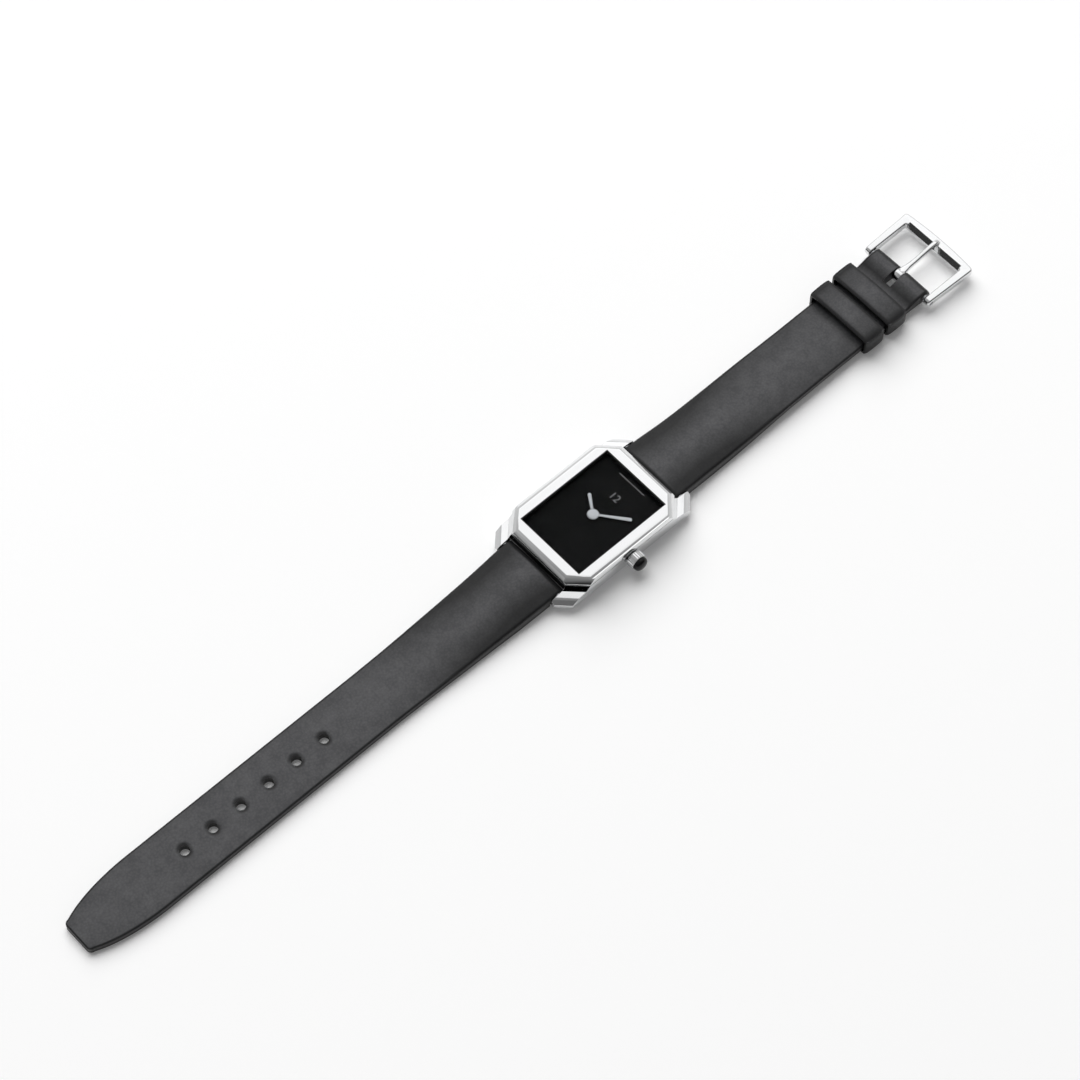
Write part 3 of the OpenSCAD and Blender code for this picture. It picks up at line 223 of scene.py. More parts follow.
def make_lines():
    """The height of fine parallel lines along Y."""
    group, given, result = new_group("fine_lines", [("Scale", 4000)], ["Height"])
    place = add_node(group, "TexCoord")
    noise = add_node(group, "TexNoise", Detail=2)
    wire(
        group, (scaled_vector(group, place.outputs["Object"], LINE_STRETCH), noise.inputs["Vector"]),
        (given.outputs["Scale"], noise.inputs["Scale"]), (noise.outputs["Fac"], result.inputs["Height"]))
    return group


fine_lines = make_lines()


# %% Leather grain
BEND_SCALE = 700
BEND_REACH = 0.6 * MM
PEBBLE_TONE = 0.35


def make_grain():
    """Pebbles between fine creases, with softer swellings: a height and a tone from 0 to 1."""
    group, given, result = new_group(
        "leather_grain", [("Pebbles", 1800), ("Swellings", 320), ("Share", 0.5)], ["Height", "Tone"])
    place = add_node(group, "TexCoord")
    bend = add_node(group, "TexNoise", Detail=2, Scale=BEND_SCALE)
    shift = add_node(group, "VectorMath", {"operation": "SCALE"}, Scale=BEND_REACH)
    moved = add_node(group, "VectorMath", {"operation": "ADD"})
    cells = add_node(group, "TexVoronoi", {"feature": "SMOOTH_F1"}, Smoothness=0.4)
    swell = add_node(group, "TexNoise", Detail=4)
    wire(
        group, (place.outputs["Object"], bend.inputs["Vector"]), (bend.outputs["Color"], shift.inputs[0]),
        (place.outputs["Object"], moved.inputs[0]), (shift.outputs[0], moved.inputs[1]),
        (moved.outputs[0], cells.inputs["Vector"]), (given.outputs["Pebbles"], cells.inputs["Scale"]),
        (place.outputs["Object"], swell.inputs["Vector"]),
        (given.outputs["Swellings"], swell.inputs["Scale"]))
    pebble = calculate(group, "SUBTRACT", 1.0, cells.outputs["Distance"])
    rest = calculate(group, "SUBTRACT", 1.0, given.outputs["Share"])
    fine = calculate(group, "MULTIPLY", pebble, given.outputs["Share"])
    broad = calculate(group, "MULTIPLY", swell.outputs["Fac"], rest)
    wire(group, (calculate(group, "ADD", fine, broad), result.inputs["Height"]))
    pebble_part = calculate(group, "MULTIPLY", pebble, PEBBLE_TONE)
    swelling_part = calculate(group, "MULTIPLY", swell.outputs["Fac"], 1 - PEBBLE_TONE)
    wire(group, (calculate(group, "ADD", pebble_part, swelling_part), result.inputs["Tone"]))
    return group


leather_grain = make_grain()


# %% Painted sheen along the crown
# How much the lengthwise slopes of the leather also take away from its painted sheen.
LENGTHWISE_SHARE = 0.35


def make_painted_sheen_mask():
    """A mask for the painted sheen: 1 along the middle of a strap and 0 where it turns down at its sides."""
    group, given, result = new_group("painted_sheen_mask", [("From", 0.13), ("To", 0.02)], ["Value"])
    place = add_node(group, "TexCoord")
    level = scaled_vector(group, place.outputs["Normal"], (1, LENGTHWISE_SHARE, 0))
    tilt = add_node(group, "VectorMath", {"operation": "LENGTH"})
    spread = add_node(group, "MapRange")
    wire(
        group, (level, tilt.inputs[0]), (tilt.outputs["Value"], spread.inputs["Value"]),
        (given.outputs["From"], spread.inputs["From Min"]), (given.outputs["To"], spread.inputs["From Max"]),
        (spread.outputs["Result"], result.inputs["Value"]))
    return group


painted_sheen_mask = make_painted_sheen_mask()
print("shared effects:", [g.name for g in bpy.data.node_groups])

# %% [markdown]
# Metals
#
# The case, bezel, buckle and hands are polished steel: nearly white, very smooth and only faintly cloudy.
# The hands get a darker, slightly rougher copy of it, whose darker colour is painted shade that dims them.
# The case back is satin finished, so it gets fine lines. The wheels and plates inside follow the same
# recipe with their own colours. Metals could be made from measured reflection data, but at this size the
# colour and the roughness decide everything.

# %% A metal from its colour and its roughness
def metal(name, colour, low, high, scale=300, line_depth=0.0, line_scale=5000):
    """A metal with cloudy patches in its roughness and, if asked, fine lines in its surface."""
    material, tree, shader, output = new_material(name, Base_Color=(*colour, 1), Metallic=1)
    patches = place_group(tree, clouds, Scale=scale, Low=low, High=high)
    wire(tree, (patches.outputs["Value"], shader.inputs["Roughness"]))
    if line_depth:
        lines = place_group(tree, fine_lines, Scale=line_scale)
        raise_surface(tree, shader, lines.outputs["Height"], 0.6, line_depth)
    return material


STEEL_COLOUR = (0.77, 0.775, 0.78)
polished_steel = metal("polished_steel_finish", STEEL_COLOUR, 0.07, 0.13)
# Painted shade: the hands' steel is darker than the case's polished steel, so that they mirror less light.
shaded_hand_steel = metal("shaded_hand_steel_finish", (0.43, 0.435, 0.44), 0.22, 0.3)
satin_steel = metal("satin_steel_finish", (0.62, 0.63, 0.65), 0.26, 0.36, line_depth=0.000004)
brass = metal("brass_finish", (0.70, 0.56, 0.32), 0.22, 0.34, line_depth=0.000003)
movement_steel = metal("movement_steel_finish", (0.55, 0.56, 0.58), 0.2, 0.32, line_depth=0.000002)
cell_steel = metal("cell_steel_finish", (0.66, 0.67, 0.69), 0.22, 0.38, line_depth=0.000003)
copper = metal("copper_wire_finish", (0.62, 0.27, 0.12), 0.25, 0.4, line_depth=0.00001, line_scale=16000)
magnet = metal("magnet_finish", (0.15, 0.15, 0.16), 0.45, 0.6, scale=1500)


# %% [markdown]
# Plastics, rubber, lacquer and stone
#
# These are not metals: their colour lies under a clear surface whose smoothness sets the kind of shine.
# The dial is black lacquer and the crown's domed stone is polished and black, so both are nearly black
# with a smooth surface, and the seals and the holder are dull.

# %% A plain material with patches
def solid_colour(name, dark, light, low, high, scale=400, grain_depth=0.0, specular=0.5, coat=0.0):
    """A material whose colour and roughness vary in soft patches."""
    material, tree, shader, output = new_material(
        name, Specular_IOR_Level=specular, Coat_Weight=coat, Coat_Roughness=0.03)
    tones = place_group(tree, clouds, Scale=scale, Low=0, High=1)
    mix = add_node(tree, "Mix", {"data_type": "RGBA"})
    for socket in mix.inputs:
        if socket.type == "RGBA":
            socket.default_value = (*(dark if socket.name == "A" else light), 1)
    patches = place_group(tree, clouds, Scale=scale * 2, Low=low, High=high)
    result = [s for s in mix.outputs if s.type == "RGBA"][0]
    wire(
        tree, (tones.outputs["Value"], mix.inputs[0]), (result, shader.inputs["Base Color"]),
        (patches.outputs["Value"], shader.inputs["Roughness"]))
    if grain_depth:
        grain = place_group(tree, leather_grain, Pebbles=scale * 10, Swellings=scale * 2)
        raise_surface(tree, shader, grain.outputs["Height"], 0.5, grain_depth)
    return material


rubber = solid_colour("black_rubber_finish", (0.015,) * 3, (0.025,) * 3, 0.6, 0.75, grain_depth=0.00001)
dark_plastic = solid_colour(
    "dark_plastic_finish", (0.03, 0.03, 0.035), (0.05, 0.05, 0.055), 0.45, 0.6, grain_depth=0.00001)
green_board = solid_colour(
    "green_board_finish", (0.02, 0.13, 0.055), (0.04, 0.19, 0.085), 0.3, 0.42, scale=900, grain_depth=0.00001)
black_lacquer = solid_colour(
    "black_lacquer_finish", (0.0022,) * 3, (0.0036,) * 3, 0.2, 0.3, scale=120, specular=0.03)
black_stone = solid_colour(
    "black_stone_finish", (0.003,) * 3, (0.006,) * 3, 0.03, 0.07, scale=600, specular=0.2, coat=0.1)
silver_print = solid_colour("silver_print_finish", (0.10,) * 3, (0.14,) * 3, 0.4, 0.55, scale=3000)

# %% [markdown]
# The crystal
#
# A flat sapphire crystal with a coating on both faces reflects very little, which is why the dial looks
# so black. Plain glass would lay a grey veil over it. A low index of refraction stands for the coating.
# Lamps shine through it too: for their shadow rays the glass is swapped for a transparent shader.

# %% Glass
COATED_INDEX = 1.06
coated_crystal, tree, shader, output = new_material(
    "coated_crystal_finish", Base_Color=(0.97, 0.985, 1, 1), Transmission_Weight=1, IOR=COATED_INDEX,
    Roughness=0)
path = add_node(tree, "LightPath")
let_through(tree, shader, output, path.outputs["Is Shadow Ray"])

# %% [markdown]
# Leather
#
# The strap is smooth black calf leather with a satin shine. Its colour is never even: the raised pebbles
# are worn a little lighter and the creases stay dark. The padded middle gets a painted sheen: its colour
# is made grey where the highlight falls, and the sides, which turn down, keep the black. The cut edges
# are sealed with black paint, which is smoother than the leather's face. The lining is duller and has a
# coarser, flatter grain.

# %% Leather from its tones and its grain
PEBBLES_PER_SWELLING = 6


def leather_finish(name, tones, low, high, pebbles, depth, share, specular=0.5, painted_sheen=0.0):
    """Leather with a dark and a light tone, limits of its roughness, the size and depth of its grain, and the
    strength of a painted sheen along its middle.
    """
    material, tree, shader, output = new_material(name, Specular_IOR_Level=specular)
    grain = place_group(
        tree, leather_grain, Pebbles=pebbles, Swellings=pebbles / PEBBLES_PER_SWELLING, Share=share)
    ramp = add_node(tree, "ValToRGB")
    for stop, position, tone in zip(ramp.color_ramp.elements, (0.35, 0.8), tones):
        stop.position = position
        stop.color = (*tone, 1)
    patches = place_group(tree, clouds, Scale=90, Low=low, High=high, Detail=5)
    raise_surface(tree, shader, grain.outputs["Height"], 0.7, depth)
    # Painted sheen: the base colour is made several times lighter along the strap's raised middle, where the
    # highlight falls.
    crown = place_group(tree, painted_sheen_mask)
    painted_sheen_gain = calculate(tree, "ADD", calculate(tree, "MULTIPLY", crown.outputs["Value"], painted_sheen), 1.0)
    shade = add_node(tree, "VectorMath", {"operation": "SCALE"})
    wire(
        tree, (grain.outputs["Tone"], ramp.inputs["Fac"]), (ramp.outputs["Color"], shade.inputs[0]),
        (painted_sheen_gain, shade.inputs["Scale"]), (shade.outputs["Vector"], shader.inputs["Base Color"]),
        (patches.outputs["Value"], shader.inputs["Roughness"]))
    return material


BLACKS = ((0.008, 0.008, 0.0085), (0.014, 0.014, 0.0145))
# The face leather and the keepers take the painted sheen along their middle.
black_leather = leather_finish(
    "black_leather_finish", BLACKS, 0.4, 0.48, 2200, 0.000012, 0.4, specular=0.3, painted_sheen=4.6)
keeper_leather = leather_finish(
    "keeper_leather_finish", BLACKS, 0.4, 0.48, 2400, 0.000012, 0.4, specular=0.3, painted_sheen=4.6)
lining_leather = leather_finish(
    "lining_leather_finish", ((0.022, 0.021, 0.020), (0.040, 0.038, 0.036)), 0.6, 0.75, 1300, 0.00003, 0.6)
edge_paint = leather_finish(
    "edge_paint_finish", ((0.008,) * 3, (0.014,) * 3), 0.34, 0.44, 3000, 0.000005, 0.3)
strap_filler = leather_finish(
    "strap_filler_finish", ((0.14, 0.12, 0.09), (0.24, 0.2, 0.15)), 0.8, 0.95, 900, 0.00005, 0.5)

# %% [markdown]
# Give the solids their finishes
#
# The record names a finish for every solid. Each solid that stays in sight, and each one inside the
# case, takes the material made for that name. Only the material slots change and the meshes don't.

# %% Assign the finishes
FINISHES = {
    "polished_steel": polished_steel,
    "brushed_steel": satin_steel,
    "crystal_glass": coated_crystal,
    "black_dial": black_lacquer,
    "black_stone": black_stone,
    "black_rubber": rubber,
    "black_leather": black_leather,
    "lining_leather": lining_leather,
    "strap_filler": strap_filler,
    "brass": brass,
    "movement_steel": movement_steel,
    "dark_plastic": dark_plastic,
    "green_board": green_board,
    "copper_wire": copper,
    "cell_steel": cell_steel,
    "magnet": magnet,
}
for row in frame["record"]["subparts"]:
    solid = frame["nodes"][row["node"]]
    for material_slot in solid.material_slots:
        material_slot.material = FINISHES[row["material_slot"]]

# %% [markdown]
# Helpers for meshes
#
# Pieces are drawn in millimetres with bmesh operators, and made metres when they are finished. Each one
# rides on the body of the frame that it moves with. Its edges are kept crisp where two faces meet at an
# angle and smooth elsewhere.

# %% Mesh helpers
CRISP_ANGLE = math.radians(32)
SAME_PLACE = 0.0005
FACE = bmesh.types.BMFace
EDGE = bmesh.types.BMEdge
VERTEX = bmesh.types.BMVert


def finish_mesh(mesh, crisp=CRISP_ANGLE):
    """Smooth faces that keep their sharp edges."""
    mesh.polygons.foreach_set("use_smooth", [True] * len(mesh.polygons))
    mesh.set_sharp_from_angle(angle=crisp)
    mesh.update()


def make_piece(bm, name, body, slot, *materials):
    """A finished piece from a bmesh in millimetres."""
    bmesh.ops.remove_doubles(bm, verts=bm.verts, dist=SAME_PLACE)
    bmesh.ops.recalc_face_normals(bm, faces=bm.faces)
    bm.transform(Matrix.Scale(MM, 4))
    mesh = bpy.data.meshes.new(name)
    bm.to_mesh(mesh)
    bm.free()
    finish_mesh(mesh)
    for material in materials:
        mesh.materials.append(material)
    piece = add_object(name, mesh)
    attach(piece, body)
    print(name, "has", len(mesh.polygons), "faces")
    return piece


def combine(piece, operation, bm):
    """Cuts the shape in a bmesh, in millimetres, out of a piece or joins it to it."""
    bmesh.ops.recalc_face_normals(bm, faces=bm.faces)
    bm.transform(Matrix.Scale(MM, 4))
    mesh = bpy.data.meshes.new("tool")
    bm.to_mesh(mesh)
    bm.free()
    tool = add_object("tool", mesh)
    modifier = piece.modifiers.new("combine", "BOOLEAN")
    modifier.operation = operation
    modifier.object = tool
    modifier.solver = "EXACT"
    result = bpy.data.meshes.new_from_object(piece.evaluated_get(bpy.context.evaluated_depsgraph_get()))
    piece.modifiers.remove(modifier)
    old = piece.data
    old_name = old.name
    piece.data = result
    bpy.data.meshes.remove(old)
    result.name = old_name
    bpy.data.objects.remove(tool)
    finish_mesh(result)


def of_kind(parts, kind):
    """Those of the parts that are faces, edges or vertices."""
    return [part for part in parts if isinstance(part, kind)]


def extruded(bm, faces, shift):
    """Extrudes faces, moves them by a shift and returns the new ones."""
    made = bmesh.ops.extrude_face_region(bm, geom=faces)["geom"]
    bmesh.ops.translate(bm, vec=shift, verts=of_kind(made, VERTEX))
    return of_kind(made, FACE)


def rounded(bm, parts, width, segments, affect="EDGES"):
    """Rounds edges, or the corners of an outline, by a width."""
    bmesh.ops.bevel(
        bm, geom=parts, offset=width, offset_type="OFFSET", segments=segments, profile=0.5, affect=affect,
        clamp_overlap=False, material=-1)


def turn(bm, verts, angle, axis):
    """Turns vertices round an axis through the origin."""
    bmesh.ops.rotate(bm, verts=verts, cent=(0, 0, 0), matrix=Matrix.Rotation(angle, 3, axis))


def add_rod(bm, centre, radius, length, axis="X", segments=64):
    """Adds a rod along X or Z to a bmesh."""
    made = bmesh.ops.create_cone(
        bm, cap_ends=True, segments=segments, radius1=radius, radius2=radius, depth=length)["verts"]
    if axis == "X":
        turn(bm, made, math.pi / 2, "Y")
    bmesh.ops.translate(bm, vec=centre, verts=made)


def add_box(bm, low, high):
    """Adds a box between two corners to a bmesh."""
    made = bmesh.ops.create_cube(bm, size=1)["verts"]
    bmesh.ops.scale(bm, vec=[b - a for a, b in zip(low, high)], verts=made)
    bmesh.ops.translate(bm, vec=[(a + b) / 2 for a, b in zip(low, high)], verts=made)


# %% [markdown]
# The strap
#
# A strap like this is an upper leather over a thin filler, with a lining glued under it. At the case the
# leather is rolled round the spring bar and padded, so that it swells and its top is rounded from side
# to side; towards the tail it runs out flat. A cloth simulation is good for loose cushions, but leather
# this firm keeps the shape it was moulded to. So each half is a row of cross sections along the strap:
# one section is drawn, and extruded from place to place while its height, width and roundness change.

# %% Sizes along the strap
BAR_Y = 15.6
BAR_Z = 2.2
ROLL_R = 1.55
LOOP_Y = 81.8
LOOP_R = 1.5
TAIL_Y = 124.4
TIP_L = 16.4
TOUCH_Y = 24.5
LINING_T = 0.8
LINING_INSET = 0.05
ROLL_JOIN_Y = 17.0
LOOP_JOIN_Y = 80.35
BAR_HOLE_R = 0.8
LOOP_HOLE_R = 0.75


def along(points, y):
    """A smooth curve through (distance, value) pairs that never overshoots them."""
    if y <= points[0][0]:
        return points[0][1]
    for k in range(len(points) - 1):
        (y0, v0), (y1, v1) = points[k], points[k + 1]
        if y > y1:
            continue
        before = points[max(k - 1, 0)]
        after = points[min(k + 2, len(points) - 1)]
        rise = v1 - v0
        slope0 = (v1 - before[1]) / (y1 - before[0])
        slope1 = (after[1] - v0) / (after[0] - y0)
        slope0 = slope0 if rise * slope0 > 0 else 0
        slope1 = slope1 if rise * slope1 > 0 else 0
        step = y1 - y0
        t = (y - y0) / step
        return v0 + rise * t * t * (3 - 2 * t) + step * t * (1 - t) * (slope0 * (1 - t) - slope1 * t)
    return points[-1][1]


def bulge(y, centre, radius):
    """Half the height of a round end at a distance from the watch's centre."""
    return math.sqrt(max(radius ** 2 - (y - centre) ** 2, 0))


def fall(points):
    """A curve as a function of the distance along the strap."""
    return lambda y: along(points, y)


# %% Heights of the two halves
strap_top_12 = fall([
    (BAR_Y, 3.75), (20, 3.45), (27, 3.02), (36, 2.8), (76.2, 2.75), (77.0, 2.66), (79.2, 3.45), (80.4, 3.68),
    (LOOP_Y, 3.7)])
strap_top_6 = fall([(BAR_Y, 3.75), (20, 3.45), (27, 2.9), (36, 2.4), (48, 1.8), (TAIL_Y, 1.8)])
under_strap_12 = fall([(TOUCH_Y, 0), (30, 0.02), (37.5, 0.5), (45, 0.98), (48, 1.0), (77, 1.0), (81.4, 0.75)])


def top_12(y):
    """Top of the 12 o'clock half, round at both bars."""
    if y < BAR_Y:
        return BAR_Z + bulge(y, BAR_Y, ROLL_R)
    if y > LOOP_Y:
        return BAR_Z + bulge(y, LOOP_Y, LOOP_R)
    return strap_top_12(y)


TIP_ROUND = 0.35


def top_6(y):
    """Top of the 6 o'clock half, round at the bar and at the tip."""
    if y < BAR_Y:
        return BAR_Z + bulge(y, BAR_Y, ROLL_R)
    turned = max(y - (TAIL_Y - TIP_ROUND), 0)
    return strap_top_6(y) - TIP_ROUND + math.sqrt(max(TIP_ROUND ** 2 - turned ** 2, 0))


ROLL_END_Y = 16.0
ROLL_END_Z = 0.703
JOINT_DROP = 0.65


def roll_under(y):
    """Underside of the padded end, from the roll down to the table."""
    roll = BAR_Z - bulge(y, BAR_Y, ROLL_R)
    down = ROLL_END_Z * (1 - (y - ROLL_END_Y) / (TOUCH_Y - ROLL_END_Y))
    return roll if y < ROLL_END_Y else max(down, 0)


def under_12(y):
    """Underside of the 12 o'clock half."""
    return roll_under(y) if y < TOUCH_Y else under_strap_12(y)


def joint_under(y, under):
    """Where the upper leather lies on the lining."""
    if y < ROLL_JOIN_Y:
        return roll_under(y)
    if y < TOUCH_Y:
        return LINING_T + JOINT_DROP * (TOUCH_Y - y) / (TOUCH_Y - ROLL_JOIN_Y)
    return under(y) + LINING_T


def joint_12(y):
    return BAR_Z - bulge(y, LOOP_Y, LOOP_R) if y > LOOP_JOIN_Y else joint_under(y, under_12)


def under_6(y):
    return roll_under(y) if y < TOUCH_Y else 0


def joint_6(y):
    return joint_under(y, under_6)


# %% Widths of the two halves
TAIL_HALF = 6.35
half_12 = fall([(12, 7.35), (18, 7.35), (TOUCH_Y, 7.2), (36, 7.1), (56, 6.9), (90, 6.9)])
straight_6 = fall([(12, 7.35), (18, 7.35), (22, 7.2), (36, 6.775), (56, TAIL_HALF), (TAIL_Y, TAIL_HALF)])
TIP_FROM = TAIL_Y - TIP_L
TIP_REACH = TIP_L * 1.165
TIP_CORNER = 1.0


def half_6(y):
    """Half the width of the 6 o'clock half, with its curved tip."""
    if y <= TIP_FROM:
        return straight_6(y)
    side = TAIL_HALF * math.sqrt(1 - ((min(y, TAIL_Y - TIP_CORNER) - TIP_FROM) / TIP_REACH) ** 2)
    past = max(y - TAIL_Y + TIP_CORNER, 0)
    return side - TIP_CORNER + math.sqrt(max(TIP_CORNER ** 2 - past ** 2, 0))


# %% [markdown]
# Where to put the cross sections
#
# Sections lie about a millimetre apart, closer round the holes, and closest at the round ends, where
# equal turns are better than equal steps. Across the strap the points crowd towards the edges, because
# the rounded shoulders are there.

# %% Places of the sections
def even_places(start, end, step):
    """Places at nearly equal steps."""
    count = max(round((end - start) / step), 1)
    return [start + (end - start) * k / count for k in range(count + 1)]


def round_places(centre, radius, low, high, turns=20):
    """Places at equal turns of a round end, between two limits."""
    found = [centre - radius * math.cos(math.pi * k / (2 * turns)) for k in range(4 * turns + 1)]
    return [y for y in found if low < y < high]


def tidy_places(places, closest=0.02):
    """Sorted places without any that nearly coincide."""
    kept = []
    for y in sorted(places):
        if not kept or y - kept[-1] > closest:
            kept.append(y)
    return kept


ROLL_START = BAR_Y - ROLL_R + 0.01
LOOP_END = LOOP_Y + LOOP_R - 0.01
HOLE_Y = 66.8
HOLE_PITCH = 6.57
HOLE_COUNT = 6
HOLE_R = 1.0
roll_places = round_places(BAR_Y, ROLL_R, ROLL_START, BAR_Y)
loop_places = round_places(LOOP_Y, LOOP_R, LOOP_JOIN_Y, LOOP_END)
places_12 = tidy_places(
    [ROLL_START, LOOP_END] + roll_places + loop_places + even_places(BAR_Y, LOOP_JOIN_Y, 1.0))
tip_places = round_places(TAIL_Y - TIP_CORNER, TIP_CORNER, TAIL_Y - TIP_CORNER, TAIL_Y - 0.005)
HOLES_FROM = HOLE_Y - 2
HOLES_TO = HOLE_Y + HOLE_PITCH * (HOLE_COUNT - 1) + 2
places_6 = tidy_places(
    [ROLL_START, TAIL_Y - 0.004] + roll_places + tip_places + even_places(BAR_Y, HOLES_FROM, 1.0)
    + even_places(HOLES_FROM, HOLES_TO, 0.36) + even_places(HOLES_TO, TAIL_Y - TIP_CORNER, 0.8))
HALF_ACROSS = [
    0.06, 0.12, 0.18, 0.24, 0.31, 0.39, 0.48, 0.58, 0.68, 0.77, 0.85, 0.9, 0.935, 0.965, 0.985, 0.996, 1]
ACROSS = [-u for u in reversed(HALF_ACROSS)] + [0] + HALF_ACROSS
print("sections:", len(places_12), "and", len(places_6), "with", 2 * len(ACROSS), "points each")


# %% [markdown]
# Drawing the sections
#
# The section is one face with a row of points on top and a row below. Extruding it leaves walls behind,
# and each new face is moved to its place. The face left inside after each step is deleted, so that the
# strap is one closed skin. The crown is a parabola from side to side, and the shoulder a quarter round.

# %% Loft a leather along the strap
def lowered(u, reach, crown, shoulder):
    """How far a face lies below its middle, at a share u of its half width."""
    inner = max(1 - shoulder / reach, 0)
    past = max(abs(u) - inner, 0) / max(1 - inner, 1e-6)
    return crown * u * u + shoulder * (1 - math.sqrt(max(1 - past * past, 0)))


def loft_strap(places, top, under, half, crown, shoulder, under_shoulder, dent=None):
    """A closed leather from cross sections at places along Y."""
    bm = bmesh.new()
    order = bm.verts.layers.int.new("order")
    count = len(ACROSS)
    ring = []
    for k in range(2 * count):
        vert = bm.verts.new((k, 0, 0))
        vert[order] = k
        ring.append(vert)
    face = bm.faces.new(ring)

    def put(verts, y):
        high, base, reach = top(y), under(y), half(y)
        room = max(high - base, 0.004) * 0.3
        for vert in verts:
            k = vert[order]
            if k < count:
                u = ACROSS[k]
                drop = lowered(u, reach, min(crown(y), room), min(shoulder(y), room))
                z = high - drop - (dent(u * reach, y) if dent else 0)
            else:
                u = ACROSS[2 * count - 1 - k]
                z = base + lowered(u, reach, 0, min(under_shoulder, room))
            vert.co = (u * reach, y, z)

    put(ring, places[0])
    for y in places[1:]:
        made = bmesh.ops.extrude_face_region(bm, geom=[face])["geom"]
        following = of_kind(made, FACE)[0]
        if face.is_valid and y != places[1]:
            bmesh.ops.delete(bm, geom=[face], context="FACES_ONLY")
        face = following
        put(face.verts, y)
    sections = sorted((f for f in bm.faces if len(f.verts) > 4), key=lambda f: f.calc_center_median().y)
    bmesh.ops.delete(bm, geom=sections[1:-1], context="FACES_ONLY")
    return bm


crown_12 = fall([(15, 0.55), (20, 0.8), (30, 0.7), (40, 0.55), (55, 0.3), (70, 0.2), (90, 0.15)])
crown_6 = fall([(15, 0.55), (20, 0.8), (30, 0.62), (40, 0.38), (52, 0.16), (TAIL_Y, 0.1)])
shoulder_12 = fall([(15, 0.45), (24, 0.6), (40, 0.5), (60, 0.4), (90, 0.35)])
shoulder_6 = fall([(15, 0.45), (24, 0.6), (40, 0.45), (60, 0.32), (TAIL_Y, 0.3)])
DENT_DEPTH = 0.14
DENT_REACH = 0.55


def hole_dent(x, y):
    """How far the leather sinks at the rim of a punched hole."""
    k = round((y - HOLE_Y) / HOLE_PITCH)
    k = min(max(k, 0), HOLE_COUNT - 1)
    away = math.hypot(x, y - HOLE_Y - k * HOLE_PITCH)
    return DENT_DEPTH * math.exp(-max(away - HOLE_R * 0.9, 0) ** 2 / (2 * (DENT_REACH / 2) ** 2))


def always(value):
    """A curve that keeps one value."""
    return lambda y: value


# %% Make the four leathers
def turned_round(bm):
    """The 6 o'clock half is drawn like the other one and turned half round."""
    turn(bm, bm.verts, math.pi, "Z")
    return bm


UNDER_EDGE = 0.12
LINING_FROM = 17.25
LINING_TO = 81.3
LINING_EDGE = 0.1
LINING_UNDER_EDGE = 0.22


def loft_lining(places, top, under, half):
    """The lining of one half, a little narrower than its leather."""
    places = [y for y in places if LINING_FROM < y]
    return loft_strap(
        places, top, under, lambda y: half(y) - LINING_INSET, always(0), always(LINING_EDGE),
        LINING_UNDER_EDGE)


strap_12 = make_piece(
    loft_strap(places_12, top_12, joint_12, half_12, crown_12, shoulder_12, UNDER_EDGE),
    "strap_12_leather", "strap_12", "black_leather", black_leather, edge_paint)
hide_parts("strap_12_upper", "strap_12_padding")
lining_12 = make_piece(
    loft_lining([y for y in places_12 if y < LINING_TO], joint_12, under_12, half_12),
    "strap_12_lining_leather", "strap_12", "lining_leather", lining_leather, edge_paint)
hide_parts("strap_12_lining")
strap_6 = make_piece(
    turned_round(loft_strap(places_6, top_6, joint_6, half_6, crown_6, shoulder_6, UNDER_EDGE, hole_dent)),
    "strap_6_leather", "strap_6", "black_leather", black_leather, edge_paint)
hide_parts("strap_6_upper", "strap_6_padding")
lining_6 = make_piece(
    turned_round(loft_lining(places_6, joint_6, under_6, half_6)),
    "strap_6_lining_leather", "strap_6", "lining_leather", lining_leather, edge_paint)
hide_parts("strap_6_lining")

# %% [markdown]
# Holes, bores and slot
#
# The maker punches the holes through both leathers at once, so the same rods cut both pieces here. The
# leathers are also bored for the spring bars, and slotted for the buckle's tongue. After that, the side
# faces get the edge paint: they are found by the direction that they face.

# %% Punch the holes
def punch(piece, rods, boxes=()):
    """Cuts rods and boxes out of a piece."""
    bm = bmesh.new()
    for rod in rods:
        add_rod(bm, *rod)
    for low, high in boxes:
        add_box(bm, low, high)
    combine(piece, "DIFFERENCE", bm)


bar_bore = ((0, BAR_Y, BAR_Z), BAR_HOLE_R, 40)
loop_bore = ((0, LOOP_Y, BAR_Z), LOOP_HOLE_R, 40)
tongue_slot = ((-1, 78.2, -1), (1, 90, 9))
hole_rods = [((0, -HOLE_Y - k * HOLE_PITCH, 0), HOLE_R, 20, "Z") for k in range(HOLE_COUNT)]
punch(strap_12, [bar_bore, loop_bore])
punch(strap_12, [], [tongue_slot])
punch(lining_12, [], [tongue_slot])
punch(strap_6, [((0, -BAR_Y, BAR_Z), BAR_HOLE_R, 40)] + hole_rods)
punch(lining_6, hole_rods)


def paint_edges(piece, least=0.6):
    """Gives the second material to the faces that look sideways."""
    sides = 0
    for polygon in piece.data.polygons:
        if math.hypot(polygon.normal.x, polygon.normal.y) > least and abs(polygon.normal.x) > 0.3:
            polygon.material_index = 1
            sides += 1
    print(piece.name, "has", sides, "painted faces")


for piece in (strap_12, lining_12, strap_6, lining_6):
    paint_edges(piece)

# %% [markdown]
# Keepers
#
# Two leather loops hold the tail. The one near the buckle is glued under the strap and stays, and the
# other slides. Each is a folded band, so its face bulges a little between its edges. The loop starts as
# a rectangle with rounded corners whose outline is extruded along the strap in short steps and given
# its thickness, and then the outer face is let down towards both rims.

# %% Make the keepers
KEEPER_L = 5.0
KEEPER_T = 0.8
KEEPER_IN_W = 14.4
KEEPER_TOP = 5.0
KEEPER_ROWS = 14
KEEPER_BULGE = 0.36
KEEPER_CROWN = 0.34


